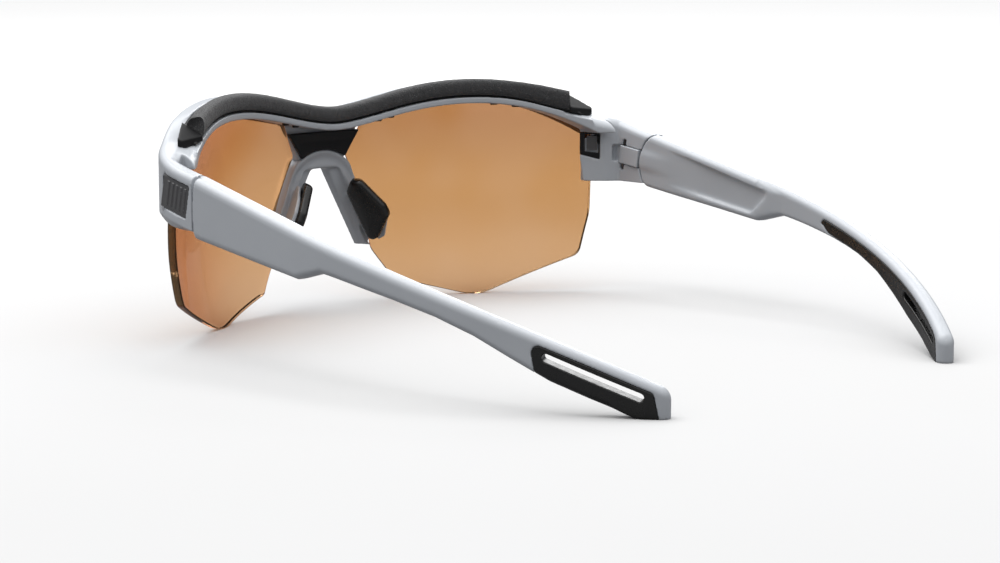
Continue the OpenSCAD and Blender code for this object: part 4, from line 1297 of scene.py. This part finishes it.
@dataclass(frozen=True)
class Hinges:
    """Tongues, pins, detent leaves and the lens locks."""

    tongue_voxel: float = 0.12
    lock_voxel: float = 0.09
    panel_in: float = 1.0
    parts: tuple[str, ...] = ("fold_pin", "tilt_pin", "detent_leaf", "lens_lock_pin")

    def painted_shade_behind_panel(self, p: np.ndarray) -> np.ndarray:
        """Picks the part of a lens lock that lies behind its panel, painted black as shade in the seat
        window.
        """
        return np.abs(p[:, 0]) < D.root_in_x + self.panel_in

    def build(self, nodes: dict, fin: Finishes) -> None:
        """Makes the moving small pieces and finishes the pins.

        Args:
            nodes: The CAD nodes by name.
            fin: The finishes.
        """
        for side, _ in SIDES:
            tongue, lock = f"hinge_tongue_{side}", f"lens_lock_{side}"
            Blank.from_node(f"moulded_{tongue}", nodes[tongue]).recast(self.tongue_voxel).ease(4) \
                .done(tongue, Slot.SHELL, [fin.shell], [tongue])
            # The lock's part behind its panel takes the black finish as painted shade in the seat window.
            Blank.from_node(f"ribbed_{lock}", nodes[lock]).recast(self.lock_voxel).ease(3) \
                .paint(self.painted_shade_behind_panel).done(lock, Slot.BLACK, [fin.lock, fin.black], [lock])
            for part in self.parts:
                node = nodes[f"{part}_{side}"]
                node.data.materials.clear()
                # The fold pin takes the steel darkened as painted shade for its grooves; the other pins take
                # plain steel.
                node.data.materials.append(fin.fold_pin_shade_steel if part == "fold_pin" else fin.steel)
                log.info("piece %s: the node itself, finished as steel", node.name)


@dataclass(frozen=True)
class Temples:
    """Temples with soft crowns, and their rubber ear grips."""

    voxel: float = 0.2
    grip_voxel: float = 0.15
    grip_in: float = 0.05
    crown_out: float = 1.7
    crown_in: float = 1.5
    chin_out: float = 1.3
    chin_in: float = 0.8
    chin_end: float = 7.0
    chin_fade: float = 4.0
    ear_offset: float = 0.8
    bulge: float = 0.4
    bulge_half: float = 2.1
    bulge_end_y: float = 9.5
    bulge_len: float = 9.0
    bulge_skin: float = 0.6
    recess_in: float = 2.2
    recess_tall: float = 11.4

    def depths(self, x: np.ndarray, y: np.ndarray) -> tuple[np.ndarray, np.ndarray, np.ndarray]:
        """Where points of the left temple lie in its plan.

        Args:
            x: Places across the object.
            y: Places along the object.

        Returns:
            Lengths along the temple, and distances inwards of its outer and its inner face.
        """
        turn = np.arctan2(y - D.straight_len, x - D.bend_x)
        r = np.hypot(y - D.straight_len, x - D.bend_x)
        bent = y > D.straight_len
        s = np.where(bent, D.straight_len + D.bend_r * turn, y)
        out = np.where(bent, D.bend_r + D.ear_t / 2 - r, D.half_w - x)
        root = x - D.root_in_x
        ear = r - (D.bend_r - D.ear_t / 2)
        share = rise(y, D.panel_end, D.waist_y - D.panel_end)
        thinned = np.minimum(root, np.where(share > 0, ear + self.ear_offset * (1 - share), root))
        inner = np.where(bent, np.maximum(ear, 0) * share + (1 - share) * thinned, root)
        tip_x = D.bend_x + D.bend_r * math.cos(D.tip_turn)
        tip_y = D.straight_len + D.bend_r * math.sin(D.tip_turn)
        tip = D.ear_t / 2 - np.hypot(x - tip_x, y - tip_y)
        past = bent & (turn > D.tip_turn)
        return s, np.where(past, np.minimum(out, tip), out), np.where(past, np.minimum(inner, tip), inner)

    def crown(self, side: int, offset: float = 0.0) -> Shape:
        """The shape that rounds a temple's long edges.

        Args:
            side: 1 for the left temple and -1 for the right.
            offset: Distance by which the shaped surface is drawn in.

        Returns:
            The shape.
        """
        def shape(points: np.ndarray) -> np.ndarray:
            """Rounds the temple's edges, and swells its root behind the tongue.

            Args:
                points: Points of the temple.

            Returns:
                The points moved.
            """
            p = mirrored(points, side)
            x, y, z = p[:, 0], p[:, 1], p[:, 2].copy()
            s, out, inner = self.depths(x, y)
            top = np.array([D.arm_top(v) for v in s]) - offset
            low = np.array([D.arm_low(v) for v in s]) + offset
            for depth, radius in ((out, self.crown_out), (inner, self.crown_in)):
                z = np.minimum(z, top - radius * round_drop(depth, radius))
            fade = rise(s, D.arm_len - self.chin_end, -self.chin_fade)
            for depth, radius in ((out, self.chin_out), (inner, self.chin_in)):
                q = rise(depth, radius, -radius) * fade
                z = np.maximum(z, low + radius * (1 - np.sqrt(1 - q * q)))
            p[:, 2] = z
            lean = math.radians(D.hinge_lean)
            across = (z - D.tilt_z) * math.cos(lean) + (y - D.tilt_y) * math.sin(lean)
            bulge = np.exp(-(across / self.bulge_half) ** 4)
            bulge *= rise(y, self.bulge_end_y, -self.bulge_len) ** 1.5
            skin = rise(x - D.root_in_x, self.bulge_skin, -self.bulge_skin)
            p[:, 0] -= self.bulge * bulge * skin * (offset == 0)
            return mirrored(p, side)
        return shape

    def recess(self, p: np.ndarray) -> np.ndarray:
        """Share of easing that softens the recess in a temple's inner side.

        Args:
            p: Points of the temple.

        Returns:
            Their shares.
        """
        x, y, z = np.abs(p[:, 0]), p[:, 1], p[:, 2]
        inner = rise(x, D.root_in_x + self.recess_in, -0.6)
        top = D.arm_top_z - D.arm_slope * y
        within = rise(z, top - 1.0, -1.2) * rise(z, top - self.recess_tall, 1.2)
        return inner * within * rise(y, 7, 5) * rise(y, 39, -3)

    def build(self, nodes: dict, fin: Finishes) -> None:
        """Moulds both temples and both grips.

        Args:
            nodes: The CAD nodes by name.
            fin: The finishes.
        """
        for side, sign in SIDES:
            body, grip = f"temple_{side}", f"ear_grip_{side}"
            Blank.from_node(f"moulded_{body}", nodes[body]).recast(self.voxel) \
                .form(self.crown(sign)).recast(self.voxel).ease(4).ease(60, 0.5, self.recess) \
                .done(body, Slot.SHELL, [fin.shell], [body])
            Blank.from_node(f"moulded_{grip}", nodes[grip]).recast(self.grip_voxel) \
                .form(self.crown(sign, self.grip_in)).recast(self.grip_voxel).ease(5) \
                .done(body, Slot.RUBBER, [fin.rubber], [grip])


# Studio


@dataclass(frozen=True)
class Studio:
    """Pale floor, soft lights and the photograph's viewpoint."""

    azimuth: float = 136.33
    elevation: float = 8.27
    place: tuple[float, float, float] = (376.2, 411.4, 90.6)
    focal: float = 2626.0
    frame_w: float = 1000.0
    sensor: float = 36.0
    floor_reach: float = 8.0
    near_tone: tuple[float, float, float] = (0.66, 0.66, 0.66)
    drift_tone: tuple[float, float, float] = (0.67, 0.67, 0.673)
    # Painted light: the floor is painted paler away from the object, making up for the overhead lamp's
    # falloff.
    far_painted_light_tone: tuple[float, float, float] = (0.97, 0.97, 0.97)
    # Painted shade: darker floor tones for glossy and diffuse rays, so what the floor mirrors and bounces
    # onto the frame is dimmer.
    mirror_painted_shade_tone: tuple[float, float, float] = (0.25, 0.25, 0.255)
    bounce_painted_shade_tone: tuple[float, float, float] = (0.17, 0.17, 0.174)
    low_glow: tuple[float, float, float] = (0.13, 0.135, 0.142)
    high_glow: tuple[float, float, float] = (1.25, 1.25, 1.25)
    backdrop: tuple[float, float, float] = (0.95, 0.95, 0.955)

    def camera(self) -> None:
        """Sets the camera where the photograph was taken from."""
        a, e = math.radians(self.azimuth), math.radians(self.elevation)
        back = Vector((math.sin(a) * math.cos(e), -math.cos(a) * math.cos(e), math.sin(e)))
        right = Vector((math.cos(a), math.sin(a), 0))
        up = back.cross(right)
        data = bpy.data.cameras.new("viewpoint")
        data.sensor_width = self.sensor
        data.lens = self.focal / self.frame_w * self.sensor
        data.clip_start, data.clip_end = 0.01, 50
        cam = bpy.data.objects.new("viewpoint", data)
        x, y, z = self.place
        turn = Matrix((right, up, back)).transposed().to_4x4()
        cam.matrix_world = Matrix.Translation(Vector((x, y - MID_Y, z)) * MM) @ turn
        bpy.context.scene.collection.objects.link(cam)
        bpy.context.scene.camera = cam

    def floor(self) -> None:
        """Lays a pale floor that reaches beyond every view."""
        bm = bmesh.new()
        bmesh.ops.create_grid(bm, x_segments=8, y_segments=8, size=self.floor_reach)
        mesh = bpy.data.meshes.new("pale_floor")
        bm.to_mesh(mesh)
        bm.free()
        mat, s = blank_material("pale floor")
        path = s.add("ShaderNodeLightPath")
        where = s.add("ShaderNodeTexCoord").outputs["Object"]
        near = s.mix(s.ramp(s.noise(where, 6.0, 2.0), 0.3, 0.7), self.near_tone, self.drift_tone)
        away = s.add("ShaderNodeVectorMath", {"operation": "LENGTH"}, i0=where).outputs["Value"]
        # Painted light: the floor grows paler further out, making up for the lamp's falloff.
        pale = s.mix(s.ramp(away, 0.2, 1.3), near, self.far_painted_light_tone)
        # Painted shade: glossy and diffuse rays see a darker floor than the camera does.
        mirrored_ray = s.math("SUBTRACT", path.outputs["Is Glossy Ray"], path.outputs["Is Transmission Ray"])
        seen = s.mix(s.math("MAXIMUM", mirrored_ray, 0.0), pale, self.mirror_painted_shade_tone)
        colour = s.mix(path.outputs["Is Diffuse Ray"], seen, self.bounce_painted_shade_tone)
        shader = s.add("ShaderNodeBsdfDiffuse", None, Color=colour, Roughness=0.6)
        s.finish(shader)
        mesh.materials.append(mat)
        obj = bpy.data.objects.new("pale_floor", mesh)
        bpy.context.scene.collection.objects.link(obj)

    @staticmethod
    def light(name: str, place: tuple[float, float, float], size: float, power: float) -> None:
        """Hangs a soft square light that faces the object.

        Args:
            name: Name of the light.
            place: Where it hangs, in metres.
            size: Length of its side, in metres.
            power: Its power, in watts.
        """
        data = bpy.data.lights.new(name, "AREA")
        data.shape, data.size, data.energy = "SQUARE", size, power
        obj = bpy.data.objects.new(name, data)
        obj.location = place
        obj.rotation_mode = "QUATERNION"
        obj.rotation_quaternion = (-Vector(place)).to_track_quat("-Z", "Y")
        bpy.context.scene.collection.objects.link(obj)

    def sky(self) -> None:
        """Surrounds the object with a white room, brightest overhead."""
        world = bpy.data.worlds.new("white room")
        bpy.context.scene.world = world
        world.use_nodes = True
        world.node_tree.nodes.clear()
        s = Sheet(world.node_tree)
        where = s.add("ShaderNodeTexCoord").outputs["Generated"]
        up = s.add("ShaderNodeSeparateXYZ", None, Vector=where).outputs["Z"]
        glow = s.mix(s.ramp(up, 0.1, 0.8), self.low_glow, self.high_glow)
        seen = s.mix(s.add("ShaderNodeLightPath").outputs["Is Camera Ray"], glow, self.backdrop)
        back = s.add("ShaderNodeBackground", None, Color=seen, Strength=1.0)
        s.tree.links.new(back.outputs[0], s.add("ShaderNodeOutputWorld").inputs[0])

    def build(self) -> None:
        """Sets up the whole studio."""
        self.camera()
        self.floor()
        self.sky()
        self.light("overhead", (0.05, -0.25, 0.9), 0.9, 7.5)
        self.light("far side", (-0.7, -0.5, 0.45), 0.5, 2.5)
        bpy.context.scene.view_settings.view_transform = "Standard"


def main() -> None:
    """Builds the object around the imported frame, piece by piece."""
    global MID_Y
    logging.basicConfig(level=logging.INFO, format="%(name)s: %(message)s")
    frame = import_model()
    MID_Y = place_of_middle()
    Studio().build()
    fin = Finishes()
    nodes = frame["nodes"]
    Front().build(nodes, fin)
    SweatBar().build(nodes, fin)
    Lenses().build(fin)
    Hinges().build(nodes, fin)
    Temples().build(nodes, fin)


if __name__ == "__main__":
    main()
